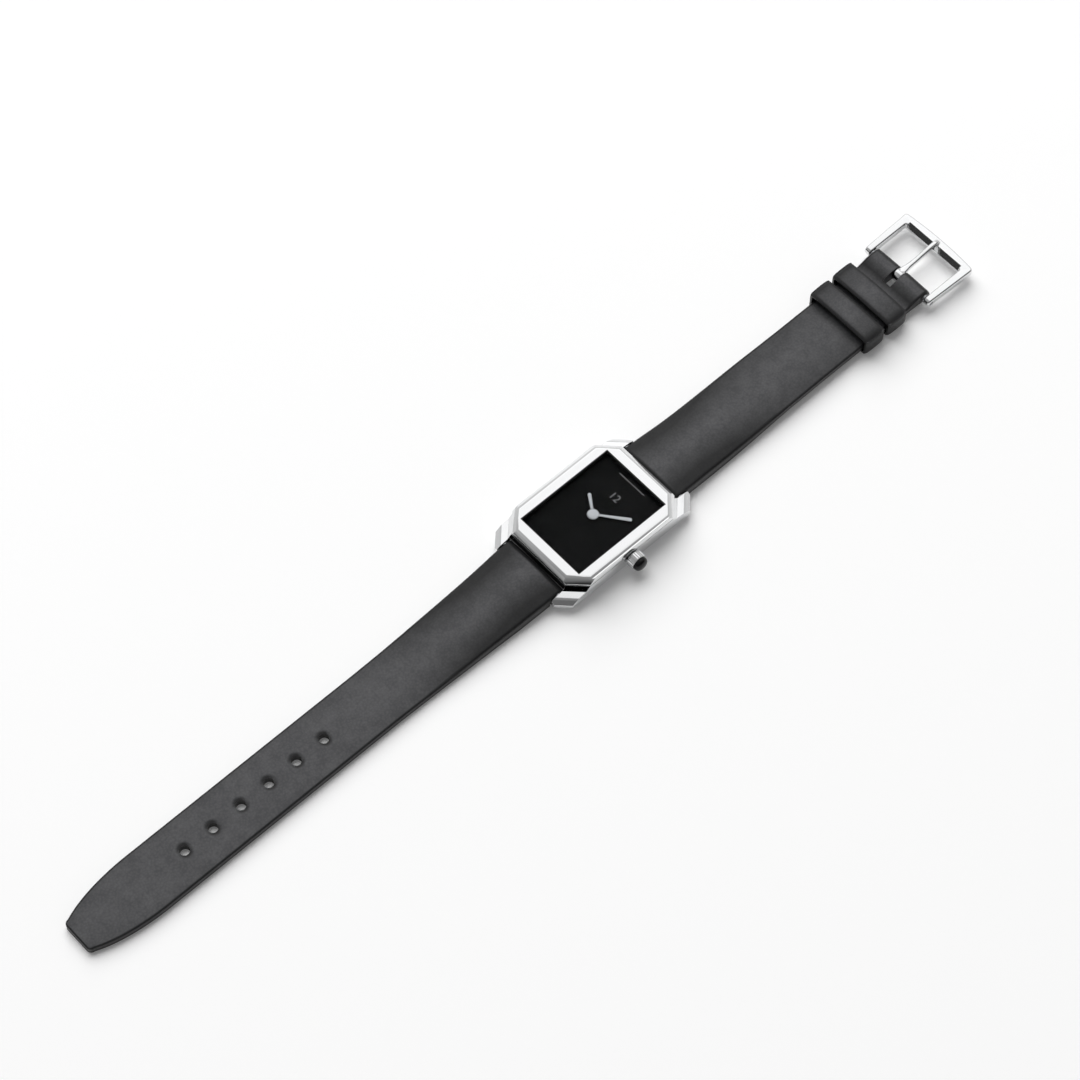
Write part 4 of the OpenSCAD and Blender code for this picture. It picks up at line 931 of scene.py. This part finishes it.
def make_keeper(name, body, start, low, node):
    """A leather loop round the strap, from a stated place and height."""
    inside_h = KEEPER_TOP - low - 2 * KEEPER_T
    centre_z = low + KEEPER_T + inside_h / 2
    bm = bmesh.new()
    made = bmesh.ops.create_grid(bm, x_segments=1, y_segments=1, size=0.5)["verts"]
    bmesh.ops.scale(bm, vec=(KEEPER_IN_W, inside_h, 1), verts=made)
    rounded(bm, list(bm.verts), 0.45, 6, "VERTICES")
    bmesh.ops.delete(bm, geom=list(bm.faces), context="FACES_ONLY")
    wide_edges = [e for e in bm.edges if e.calc_length() > KEEPER_IN_W / 2]
    bmesh.ops.subdivide_edges(bm, edges=wide_edges, cuts=15)
    turn(bm, bm.verts, math.pi / 2, "X")
    bmesh.ops.translate(bm, vec=(0, start, centre_z), verts=bm.verts)
    edges = list(bm.edges)
    for k in range(KEEPER_ROWS):
        made = bmesh.ops.extrude_edge_only(bm, edges=edges)["geom"]
        edges = of_kind(made, EDGE)
        bmesh.ops.translate(bm, vec=(0, KEEPER_L / KEEPER_ROWS, 0), verts=of_kind(made, VERTEX))
    bmesh.ops.recalc_face_normals(bm, faces=bm.faces)
    bmesh.ops.solidify(bm, geom=list(bm.faces), thickness=-KEEPER_T)
    for vert in bm.verts:
        share = abs(vert.co.y - start - KEEPER_L / 2) / (KEEPER_L / 2)
        sink = KEEPER_BULGE * (1 - math.sqrt(max(1 - share ** 3, 0)))
        across = abs(vert.co.x) - KEEPER_IN_W / 2
        over = abs(vert.co.z - centre_z) - inside_h / 2
        if across > 0.2:
            vert.co.x -= math.copysign(sink * across / KEEPER_T, vert.co.x)
        if over > 0.2:
            fall_off = KEEPER_CROWN * (vert.co.x / (KEEPER_IN_W / 2)) ** 2 if vert.co.z > centre_z else 0
            vert.co.z -= math.copysign((sink + fall_off) * over / KEEPER_T, vert.co.z - centre_z)
    piece = make_piece(bm, name, body, "black_leather", keeper_leather, edge_paint)
    for polygon in piece.data.polygons:
        if abs(polygon.normal.y) > 0.7:
            polygon.material_index = 1
    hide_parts(node)


make_keeper("fixed_keeper_leather", "strap_12", 70.9, 0.2, "fixed_keeper")
make_keeper("free_keeper_leather", "keeper_loop", 64.8, 0.0, "free_keeper")

# %% [markdown]
# Bezel
#
# The bezel is one block of steel with a flat top, a slope along each side and a steep one at each cut
# corner. It could be a bevelled box, but its slopes have different widths and drops. So a box is cut by
# one plane for each slope, as the maker grinds it. The edges round the flat top are then rounded broadly,
# which gives the polished top its soft change from white to grey, and the opening is cut last.

# %% Cut the bezel
BEZEL_HALF = (10.8, 14.0)
BEZEL_LOW = 4.7
BEZEL_RISE = 1.25
BEZEL_CORNER = 15.13
LONG_SLOPE = (0.9, 0.15, 0.18)
SHORT_SLOPE = (0.9, 0.75)
CORNER_SLOPE = (1.15, 1.05)
TOP_ROUND = 0.42
EDGE_ROUND = 0.07
SHARP = math.radians(18)
OPENING_HALF = (8.05, 11.1)
DIAL_HALF = (8.3, 11.35)
DIAL_TOP = 4.4


def slope_plane(bm, towards, distance, width, drop, lean=0):
    """Cuts away what lies outside a slope, and outside the wall under it, on one side of the bezel."""
    flat = Vector((towards[0], towards[1], 0)).normalized()
    wall = (flat * (BEZEL_RISE - drop) + Vector((0, 0, lean))).normalized()
    slope = (flat * drop + Vector((0, 0, width - lean))).normalized()
    foot = flat * distance + Vector((0, 0, BEZEL_LOW))
    rim = flat * (distance - width) + Vector((0, 0, BEZEL_LOW + BEZEL_RISE))
    for normal, place in ((wall, foot), (slope, rim)):
        parts = list(bm.verts) + list(bm.edges) + list(bm.faces)
        made = bmesh.ops.bisect_plane(
            bm, geom=parts, dist=0.0001, plane_co=place, plane_no=normal, clear_outer=True)["geom_cut"]
        bmesh.ops.holes_fill(bm, edges=of_kind(made, EDGE), sides=0)


bm = bmesh.new()
add_box(
    bm, (-BEZEL_HALF[0] - 1, -BEZEL_HALF[1] - 1, BEZEL_LOW),
    (BEZEL_HALF[0] + 1, BEZEL_HALF[1] + 1, BEZEL_LOW + BEZEL_RISE))
for sign in (-1, 1):
    slope_plane(bm, (sign, 0), BEZEL_HALF[0], *LONG_SLOPE)
    slope_plane(bm, (0, sign), BEZEL_HALF[1], *SHORT_SLOPE)
    slope_plane(bm, (sign, 1), BEZEL_CORNER, *CORNER_SLOPE)
    slope_plane(bm, (sign, -1), BEZEL_CORNER, *CORNER_SLOPE)
bmesh.ops.recalc_face_normals(bm, faces=bm.faces)
around_top = [e for e in bm.edges if all(v.co.z > BEZEL_LOW + BEZEL_RISE - 0.01 for v in e.verts)]
rounded(bm, around_top, TOP_ROUND, 8)
rounded(bm, [e for e in bm.edges if e.calc_face_angle(0) > SHARP and e.calc_length() > 0.3], EDGE_ROUND, 3)
bezel = make_piece(bm, "bezel_steel", "watch_head", "polished_steel", polished_steel)
bm = bmesh.new()
add_box(bm, (-DIAL_HALF[0], -DIAL_HALF[1], DIAL_TOP), (DIAL_HALF[0], DIAL_HALF[1], BEZEL_LOW + 0.1))
combine(bezel, "UNION", bm)
bm = bmesh.new()
add_box(bm, (-OPENING_HALF[0], -OPENING_HALF[1], 4), (OPENING_HALF[0], OPENING_HALF[1], 7))
combine(bezel, "DIFFERENCE", bm)
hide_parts("bezel")

# %% [markdown]
# Case, crystal and case back
#
# These solids have the right shape, but their edges are perfectly sharp, and no real edge is. A polished
# edge is a thin rounded strip that catches the light, and it is what tells steel from grey paint. A copy
# of each solid is taken, its loose triangles are merged, flat neighbours are joined into whole faces,
# and the long edges are bevelled by a few hundredths of a millimetre. The faces stay flat: if they were
# shaded smooth over their edges, a polished face would mirror several parts of the room at once.

# %% Soften a copy of a solid
FLAT_ANGLE = math.radians(12)
CASE_ROUND = 0.05
CASE_LEAST = 0.8
SHOULDER_ROUND = 0.25


def softened(node, name, slot, material, width, segments=3, least_length=0.5, broad=None):
    """A copy of a solid of the head with its long edges rounded, and more broadly where broad says."""
    bm = bmesh.new()
    bm.from_mesh(frame["nodes"][node].data)
    bm.transform(Matrix.Scale(1 / MM, 4))
    bmesh.ops.remove_doubles(bm, verts=bm.verts, dist=SAME_PLACE)
    bmesh.ops.dissolve_limit(
        bm, angle_limit=math.radians(0.5), use_dissolve_boundaries=False, verts=bm.verts, edges=bm.edges,
        delimit=set())
    bmesh.ops.recalc_face_normals(bm, faces=bm.faces)
    if broad:
        chosen = [e for e in bm.edges if e.calc_face_angle_signed(0) > SHARP and broad(e)]
        rounded(bm, chosen, SHOULDER_ROUND, 8)
    edges = [e for e in bm.edges if e.calc_face_angle_signed(0) > SHARP and e.calc_length() > least_length]
    rounded(bm, edges, width, segments)
    piece = make_piece(bm, name, "watch_head", slot, material)
    finish_mesh(piece.data, FLAT_ANGLE)
    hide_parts(node)


def lug_shoulder(edge):
    """Whether an edge lies between the two lower slopes of a lug."""
    across = [abs(v.co.x) + abs(v.co.y) for v in edge.verts]
    return all(v.co.z > 2.9 for v in edge.verts) and min(across) > 24.2 and edge.calc_length() > 0.8


softened(
    "case_body", "case_steel", "polished_steel", polished_steel, CASE_ROUND, least_length=CASE_LEAST,
    broad=lug_shoulder)
softened("case_back", "case_back_steel", "brushed_steel", satin_steel, CASE_ROUND, least_length=CASE_LEAST)
softened("crystal", "crystal_glass", "crystal_glass", coated_crystal, 0.1, segments=1)

# %% [markdown]
# Crown
#
# The crown is turned on a lathe and then fluted for grip, and a domed black stone is set in its end. The
# same order works here: half of its section is spun round the stem's axis, and the flutes are pressed
# into the outer face afterwards. Its back is hollow, because it runs over the tube of the case.

# %% Spin the crown
STEM_Z = 3.0
CROWN_X = 10.95
CROWN_OUT_X = 12.65
CROWN_R = 1.75
FLUTES = 24
STEPS_PER_FLUTE = 8
FLUTE_DEPTH = 0.13


def spin_points(points, steps, centre, axis, closed=False):
    """A skin from a row of points, spun once round an axis."""
    bm = bmesh.new()
    verts = [bm.verts.new(point) for point in points]
    edges = [bm.edges.new(pair) for pair in zip(verts, verts[1:])]
    if closed:
        edges.append(bm.edges.new((verts[-1], verts[0])))
    bmesh.ops.spin(
        bm, geom=verts + edges, cent=centre, axis=axis, dvec=(0, 0, 0), angle=2 * math.pi, steps=steps,
        use_merge=True, use_duplicate=False)
    bmesh.ops.remove_doubles(bm, verts=bm.verts, dist=SAME_PLACE)
    return bm


def spun(profile, steps, centre=(0, 0, STEM_Z)):
    """A closed skin from a profile of (x, radius) points, spun round an axis along X."""
    points = [(x, centre[1], centre[2] + radius) for x, radius in profile]
    return spin_points(points, steps, centre, (1, 0, 0), profile[0][1] > 0 and profile[-1][1] > 0)


def quarter(x, radius, size, start, count=4):
    """Points of a quarter round of a profile, between two quarter turns."""
    return [
        (x + size * math.cos(math.radians(start + 90 * k / count)),
         radius + size * math.sin(math.radians(start + 90 * k / count)))
        for k in range(count + 1)
    ]


RIM = 0.12
crown_profile = (
    [(12.4, 0), (12.4, 1.5), (CROWN_OUT_X - 0.03, 1.5), (CROWN_OUT_X, 1.53)]
    + quarter(CROWN_OUT_X - RIM, CROWN_R - RIM, RIM, 0)
    + [(12.2, CROWN_R), (11.8, CROWN_R), (11.4, CROWN_R)]
    + quarter(CROWN_X + RIM, CROWN_R - RIM, RIM, 90)
    + [(CROWN_X, 1.17), (CROWN_X + 0.03, 1.15), (12.05, 1.15), (12.05, 0)]
)
bm = spun(crown_profile, FLUTES * STEPS_PER_FLUTE)
for vert in bm.verts:
    arm = math.hypot(vert.co.y, vert.co.z - STEM_Z)
    if arm > CROWN_R - RIM:
        angle = math.atan2(vert.co.z - STEM_Z, vert.co.y)
        sink = FLUTE_DEPTH * max(math.cos(FLUTES * angle), -0.25)
        share = (arm - max(sink, 0)) / arm
        vert.co.y *= share
        vert.co.z = STEM_Z + (vert.co.z - STEM_Z) * share
crown = make_piece(bm, "crown_steel", "crown_and_stem", "polished_steel", polished_steel)
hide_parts("crown")

# %% Spin the domed stone
DOME_FROM = 12.9
DOME_RISE = 1.0
DOME_R = 1.49
DOME_STEPS = 16
STONE_X = 12.42
dome_profile = [(STONE_X, 0), (STONE_X, DOME_R), (DOME_FROM, DOME_R)]
for k in range(1, DOME_STEPS):
    angle = math.radians(90 * k / DOME_STEPS)
    dome_profile.append((DOME_FROM + DOME_RISE * math.sin(angle) ** 0.8, DOME_R * math.cos(angle) ** 0.9))
dome_profile.append((DOME_FROM + DOME_RISE, 0))
stone = make_piece(spun(dome_profile, 96), "crown_stone", "crown_and_stem", "black_stone", black_stone)
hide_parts("crown_cabochon")

# %% [markdown]
# Hands
#
# The hands are thin strips of polished steel that widen towards a round tip. Each has a low ridge along
# its middle, so that one of its two slopes is bright when the other is dark, which is how a hand stays
# readable on a black dial. An inset of the top face whose middle is lifted makes the ridge.

# %% Make the hands
HAND_T = 0.12
HAND_ROOT = 0.5
HAND_START = -0.2
HAND_SIDE_T = 0.45 * HAND_T
HAND_RIDGE_T = 0.55 * HAND_T
HUB_EDGE = 0.02


def hand(name, body, node, length, angle, low, hub_r, bore_r, bore_depth, tip, dome):
    """A ridged hand with its hub. The dome is how far the hub's top swells."""
    bm = bmesh.new()
    outline = [(-HAND_ROOT / 2, HAND_START), (-tip / 2, length - tip / 2)]
    outline += [
        (-tip / 2 * math.cos(math.radians(a)), length - tip / 2 + tip / 2 * math.sin(math.radians(a)))
        for a in range(20, 180, 20)
    ]
    outline += [(tip / 2, length - tip / 2), (HAND_ROOT / 2, HAND_START)]
    face = bm.faces.new([bm.verts.new((x, y, low)) for x, y in outline])
    top = extruded(bm, [face], (0, 0, HAND_SIDE_T))[0]
    bmesh.ops.inset_region(bm, faces=[top], thickness=HAND_ROOT * 0.42, depth=0)
    bmesh.ops.translate(bm, vec=(0, 0, HAND_RIDGE_T), verts=top.verts)
    turn(bm, bm.verts, -math.radians(angle), "Z")
    # The hand takes the darker steel, whose colour paints in shade.
    piece = make_piece(bm, name, body, "polished_steel", shaded_hand_steel)
    high = low + HAND_T
    profile = [(0, low), (hub_r, low), (hub_r, high - HUB_EDGE), (hub_r - HUB_EDGE, high)]
    if dome:
        profile += [
            (hub_r * math.cos(math.radians(a)) * 0.97, high + dome * math.sin(math.radians(a)))
            for a in range(10, 90, 10)
        ]
    profile.append((0, high + dome))
    combine(piece, "UNION", spin_points([(r, 0, z) for r, z in profile], 64, (0, 0, 0), (0, 0, 1)))
    punch(piece, [((0, 0, low), bore_r, 2 * bore_depth, "Z")])
    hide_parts(node)


hand("hour_hand_steel", "hour_assembly", "hour_hand", 4.85, 304.3, 4.50, 1.05, 0.75, HAND_T, 0.72, 0)
hand("minute_hand_steel", "centre_arbor", "minute_hand", 7.4, 51.9, 4.74, 1.2, 0.45, 0.08, 0.78, 0.16)

# %% [markdown]
# Dial
#
# The dial is plain black lacquer with a 12 under its top edge and a thin line above it, printed in grey
# ink. The prints could be part of the dial's material, but as thin pieces they stay sharp from near. The
# figures come from Blender's own font. Text is made a mesh before it is placed, to export like the rest.

# %% Print the figures and the line
PRINT_LOW = 4.4
PRINT_T = 0.012
FIGURES_AT = (-0.1, 4.95)
FIGURES_SIZE = 2.3
LINE_FROM = (-3.4, 9.85)
LINE_TO = (3.4, 10.07)
LINE_END_R = 0.08


def printed_figures(name, words, place, size):
    """Figures printed on the dial, centred on a place."""
    text = bpy.data.curves.new(name, "FONT")
    text.body = words
    text.size = size
    text.align_x = "CENTER"
    text.extrude = PRINT_T / 2
    text.resolution_u = 6
    draft = add_object(name, text)
    drawn = bpy.data.meshes.new_from_object(draft.evaluated_get(bpy.context.evaluated_depsgraph_get()))
    bpy.data.objects.remove(draft)
    bm = bmesh.new()
    bm.from_mesh(drawn)
    bpy.data.meshes.remove(drawn)
    bmesh.ops.translate(bm, vec=(place[0], place[1], PRINT_LOW + PRINT_T / 2), verts=bm.verts)
    return make_piece(bm, name, "watch_head", "black_dial", silver_print)


printed_figures("dial_figures", "12", FIGURES_AT, FIGURES_SIZE)
bm = bmesh.new()
add_box(bm, (*LINE_FROM, PRINT_LOW), (*LINE_TO, PRINT_LOW + PRINT_T))
rounded(bm, [e for e in bm.edges if abs(e.verts[0].co.z - e.verts[1].co.z) > PRINT_T / 2], LINE_END_R, 4)
make_piece(bm, "dial_line", "watch_head", "black_dial", silver_print)

# %% [markdown]
# Buckle
#
# A pin buckle is cast or cut from one plate and polished until all its edges are round. The frame opens
# towards the strap, its end bar is bowed, and its arms flare a little. It could be swept along a path,
# but its outline is simpler to draw once. The corners are rounded in the plan, and after the extrusion
# the arm ends and then the long edges. A wedge cuts the bar's slope on which the tongue comes to rest.

# %% Draw the buckle's frame
BUCKLE_IN = 7.3
BUCKLE_ARM = 1.5
BUCKLE_FLARE = 0.4
BUCKLE_LOW = 1.35
BUCKLE_T = 1.8
BUCKLE_BACK_Y = 80.9
BUCKLE_INNER_Y = 91.1
BUCKLE_OUTER_Y = 93.1
BUCKLE_BOW = 0.5
BUCKLE_ROUND = 0.38
BUCKLE_CORNER_OUT = 0.7
BUCKLE_CORNER_IN = 0.3
BUCKLE_ARM_END = 0.48 * BUCKLE_T
BUCKLE_BAR_R = 0.42
BUCKLE_CHAMFER = 0.8
CHAMFER_STEEPNESS = 1.25
CHAMFER_SPARE = 0.3
NEAR = 0.01


def buckle_outline():
    """Corners of the frame, from the right arm's end outside round to the left and back inside."""
    outer = BUCKLE_IN + BUCKLE_ARM
    wide = outer + BUCKLE_FLARE
    bow = [
        (wide * k / 10, BUCKLE_OUTER_Y + BUCKLE_BOW * (1 - (k / 10) ** 2)) for k in range(9, -10, -1)
    ]
    return (
        [(outer, BUCKLE_BACK_Y), (wide, BUCKLE_OUTER_Y)] + bow
        + [(-wide, BUCKLE_OUTER_Y), (-outer, BUCKLE_BACK_Y), (-BUCKLE_IN, BUCKLE_BACK_Y),
           (-BUCKLE_IN, BUCKLE_INNER_Y), (BUCKLE_IN, BUCKLE_INNER_Y), (BUCKLE_IN, BUCKLE_BACK_Y)]
    )


def round_corners(bm, x, y, size, segments):
    """Rounds the corners of a flat outline that lie at (x, y) and (-x, y)."""
    chosen = [v for v in bm.verts if math.dist((abs(v.co.x), v.co.y), (x, y)) < NEAR]
    rounded(bm, chosen, size, segments, "VERTICES")


bm = bmesh.new()
bm.faces.new([bm.verts.new((x, y, BUCKLE_LOW)) for x, y in buckle_outline()])
round_corners(bm, BUCKLE_IN + BUCKLE_ARM + BUCKLE_FLARE, BUCKLE_OUTER_Y, BUCKLE_CORNER_OUT, 8)
round_corners(bm, BUCKLE_IN, BUCKLE_INNER_Y, BUCKLE_CORNER_IN, 4)
extruded(bm, list(bm.faces), (0, 0, BUCKLE_T))
bmesh.ops.recalc_face_normals(bm, faces=bm.faces)
at_back = [e for e in bm.edges if all(abs(v.co.y - BUCKLE_BACK_Y) < NEAR for v in e.verts)]
rounded(bm, [e for e in at_back if abs(e.verts[0].co.z - e.verts[1].co.z) < NEAR], BUCKLE_ARM_END, 8)
rounded(bm, [e for e in bm.edges if e.calc_face_angle(0) > math.radians(50)], BUCKLE_ROUND, 7)
buckle = make_piece(bm, "buckle_frame_steel", "buckle", "polished_steel", polished_steel)
punch(buckle, [((0, LOOP_Y, BAR_Z), BUCKLE_BAR_R, 40)])
wedge = bmesh.new()
top = BUCKLE_LOW + BUCKLE_T
profile = [
    (BUCKLE_INNER_Y - CHAMFER_SPARE, top - (BUCKLE_CHAMFER + CHAMFER_SPARE) * CHAMFER_STEEPNESS),
    (BUCKLE_INNER_Y + BUCKLE_CHAMFER + CHAMFER_SPARE, top + CHAMFER_SPARE * CHAMFER_STEEPNESS),
    (BUCKLE_INNER_Y - CHAMFER_SPARE, top + CHAMFER_SPARE * CHAMFER_STEEPNESS),
]
half_bar = BUCKLE_IN - CHAMFER_SPARE
side = wedge.faces.new([wedge.verts.new((-half_bar, y, z)) for y, z in profile])
extruded(wedge, [side], (2 * half_bar, 0, 0))
combine(buckle, "DIFFERENCE", wedge)
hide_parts("buckle_frame")

# %% [markdown]
# Tongue
#
# The tongue is a flat strip whose end is bent into a ring round the spring bar. It dips behind the bar,
# so that it lies low in the strap's hole, and rises to rest on the end bar. It narrows to its tip. The
# strip is lofted as the strap was, and joined to a ring that is spun round the bar.

# %% Bend the tongue
TONGUE_RING_R = 1.35
TONGUE_HALF = 0.85
TONGUE_TIP_Y = 92.8
TONGUE_CROWN = 0.16
TONGUE_SHOULDER = 0.26
tongue_top = fall([
    (LOOP_Y, 3.53), (83.2, 3.46), (86, 3.42), (88.4, 3.72), (90.4, 4.0), (91.6, 4.02), (92.4, 3.86),
    (TONGUE_TIP_Y, 3.6)])
tongue_low = fall([(LOOP_Y, 2.65), (83.2, 2.62), (86, 2.6), (88.4, 2.9), (90.4, 3.17), (TONGUE_TIP_Y, 3.18)])
tongue_half = fall([
    (LOOP_Y, TONGUE_HALF), (83.2, 0.76), (84.6, 0.55), (91, 0.52), (92.3, 0.5), (TONGUE_TIP_Y, 0.38)])
tongue_places = even_places(LOOP_Y, TONGUE_TIP_Y - 0.6, 0.4)
tongue_places += even_places(TONGUE_TIP_Y - 0.5, TONGUE_TIP_Y, 0.1)
tongue = make_piece(
    loft_strap(
        tongue_places, tongue_top, tongue_low, tongue_half, always(TONGUE_CROWN), always(TONGUE_SHOULDER),
        UNDER_EDGE),
    "tongue_steel", "tongue", "polished_steel", polished_steel)
ring_side = [
    (0.12, 0.76), (0, 0.88), (0, TONGUE_RING_R - 0.2), (0.06, TONGUE_RING_R - 0.06), (0.2, TONGUE_RING_R)]
ring_profile = [(inset - TONGUE_HALF, radius) for inset, radius in ring_side]
ring_profile += [(TONGUE_HALF - inset, radius) for inset, radius in reversed(ring_side)]
combine(tongue, "UNION", spun(ring_profile, 64, centre=(0, LOOP_Y, BAR_Z)))
punch(tongue, [((0, LOOP_Y, BAR_Z), LOOP_HOLE_R, 40)])
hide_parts("buckle_tongue")

# %% [markdown]
# Floor, lamps and surroundings
#
# The watch lies on white paper. A very wide softbox on the 9 o'clock side is the main light: its shadows
# fall to the lower right and are soft, and no steel mirrors it. A second softbox is only mirrored: it
# brightens the flat steel and the leather's middle and lights nothing matt. The surroundings give little
# light, but the camera sees them white and the steel mirrors them as pale walls with three dark flags,
# which draw the dark bands on the lug, the buckle and the bezel's slopes. A photographed studio could be
# used instead, but then no band could be put in its place. The floor glows faintly for the camera and
# for mirrors, so that it is white and still keeps its shadow.

# %% Lay the floor
FLOOR_SIZE = 3
FLOOR_DROP = 0.02
FLOOR_GLOW = 0.08
bm = bmesh.new()
bmesh.ops.create_grid(bm, x_segments=1, y_segments=1, size=FLOOR_SIZE)
bmesh.ops.translate(bm, vec=(0, 0, -FLOOR_DROP * MM), verts=bm.verts)
floor_mesh = bpy.data.meshes.new("floor")
bm.to_mesh(floor_mesh)
bm.free()
floor = add_object("floor", floor_mesh)
paper, tree, shader, output = new_material(
    "white_paper_floor", Base_Color=(0.92, 0.92, 0.92, 1), Roughness=1, Specular_IOR_Level=0,
    Emission_Color=(1, 1, 1, 1))
path = add_node(tree, "LightPath")
seen = calculate(tree, "MAXIMUM", path.outputs["Is Camera Ray"], path.outputs["Is Glossy Ray"])
seen = calculate(tree, "MAXIMUM", seen, path.outputs["Is Transmission Ray"])
side = add_node(tree, "NewGeometry")
wire(tree, (calculate(tree, "MULTIPLY", seen, FLOOR_GLOW), shader.inputs["Emission Strength"]))
let_through(tree, shader, output, side.outputs["Backfacing"])
floor_mesh.materials.append(paper)

# %% Surround it
FILL_LIGHT = 0.2
WALL_BRIGHTNESS = 0.55
WALL_SLANT = (-0.2, 0.22, 0)
OVERHEAD_DROP = 0.18
FLAGS = [
    ((0.73, -0.68, 0.05), 0.81, 0.95, 0.0),
    ((0.86, 0.3, 0.42), 0.72, 0.95, 0.2),
    ((-0.38, -0.92, 0.05), 0.905, 0.955, 0.1),
]
world = bpy.data.worlds.new("studio")
world.use_nodes = True
bpy.context.scene.world = world
tree = world.node_tree
ground = tree.nodes["Background"]
place = add_node(tree, "TexCoord")
parts = add_node(tree, "SeparateXYZ")
slant = add_node(tree, "VectorMath", {"operation": "DOT_PRODUCT"})
slant.inputs[1].default_value = WALL_SLANT
path = add_node(tree, "LightPath")
mirrored = calculate(tree, "MAXIMUM", path.outputs["Is Glossy Ray"], path.outputs["Is Transmission Ray"])
wire(
    tree, (place.outputs["Generated"], parts.inputs["Vector"]), (place.outputs["Generated"], slant.inputs[0]))
overhead = calculate(tree, "MULTIPLY", calculate(tree, "POWER", parts.outputs["Z"], 2.0), -OVERHEAD_DROP)
walls = calculate(tree, "ADD", calculate(tree, "ADD", slant.outputs["Value"], WALL_BRIGHTNESS), overhead)
for towards, start, full, left in FLAGS:
    facing = add_node(tree, "VectorMath", {"operation": "DOT_PRODUCT"})
    facing.inputs[1].default_value = towards
    shade = add_node(
        tree, "MapRange", {"interpolation_type": "SMOOTHSTEP"}, From_Min=start, From_Max=full, To_Min=1,
        To_Max=left)
    wire(
        tree, (place.outputs["Generated"], facing.inputs[0]),
        (facing.outputs["Value"], shade.inputs["Value"]))
    walls = calculate(tree, "MULTIPLY", walls, shade.outputs["Result"])
shown = calculate(tree, "MULTIPLY", mirrored, walls)
others = calculate(tree, "MULTIPLY", calculate(tree, "SUBTRACT", 1.0, mirrored), FILL_LIGHT)
total = calculate(tree, "ADD", shown, others)
wire(tree, (calculate(tree, "MAXIMUM", total, path.outputs["Is Camera Ray"]), ground.inputs["Strength"]))
ground.inputs["Color"].default_value = (1, 1, 1, 1)


# %% Hang the softboxes
def softbox(name, azimuth, elevation, distance, width, length, power):
    """A lamp that faces the watch from a direction in degrees, with its length along the strap."""
    towards = direction(math.radians(azimuth), math.radians(elevation))
    data = bpy.data.lights.new(name, "AREA")
    data.shape = "RECTANGLE"
    data.size = width
    data.size_y = length
    data.energy = power
    lamp = add_object(name, data)
    lengthwise = Vector((0, 1, 0)) - towards * towards.y
    lengthwise.normalize()
    lamp.rotation_mode = "QUATERNION"
    axes = Matrix((lengthwise.cross(towards), lengthwise, towards)).transposed()
    lamp.rotation_quaternion = axes.to_quaternion()
    lamp.location = towards * distance
    return lamp


side_softbox = softbox("side_softbox", -115, 48, 3, 3.4, 3.4, 132)
side_softbox.visible_glossy = False
side_softbox.visible_transmission = False
top_softbox = softbox("top_softbox", 223, 62, 1.2, 1.3, 1.0, 2.6)
top_softbox.visible_diffuse = False

# %% [markdown]
# The view
#
# The picture is shown with the plain standard view, without any grading.

# %% Show the picture with the standard view
bpy.context.scene.view_settings.view_transform = "Standard"
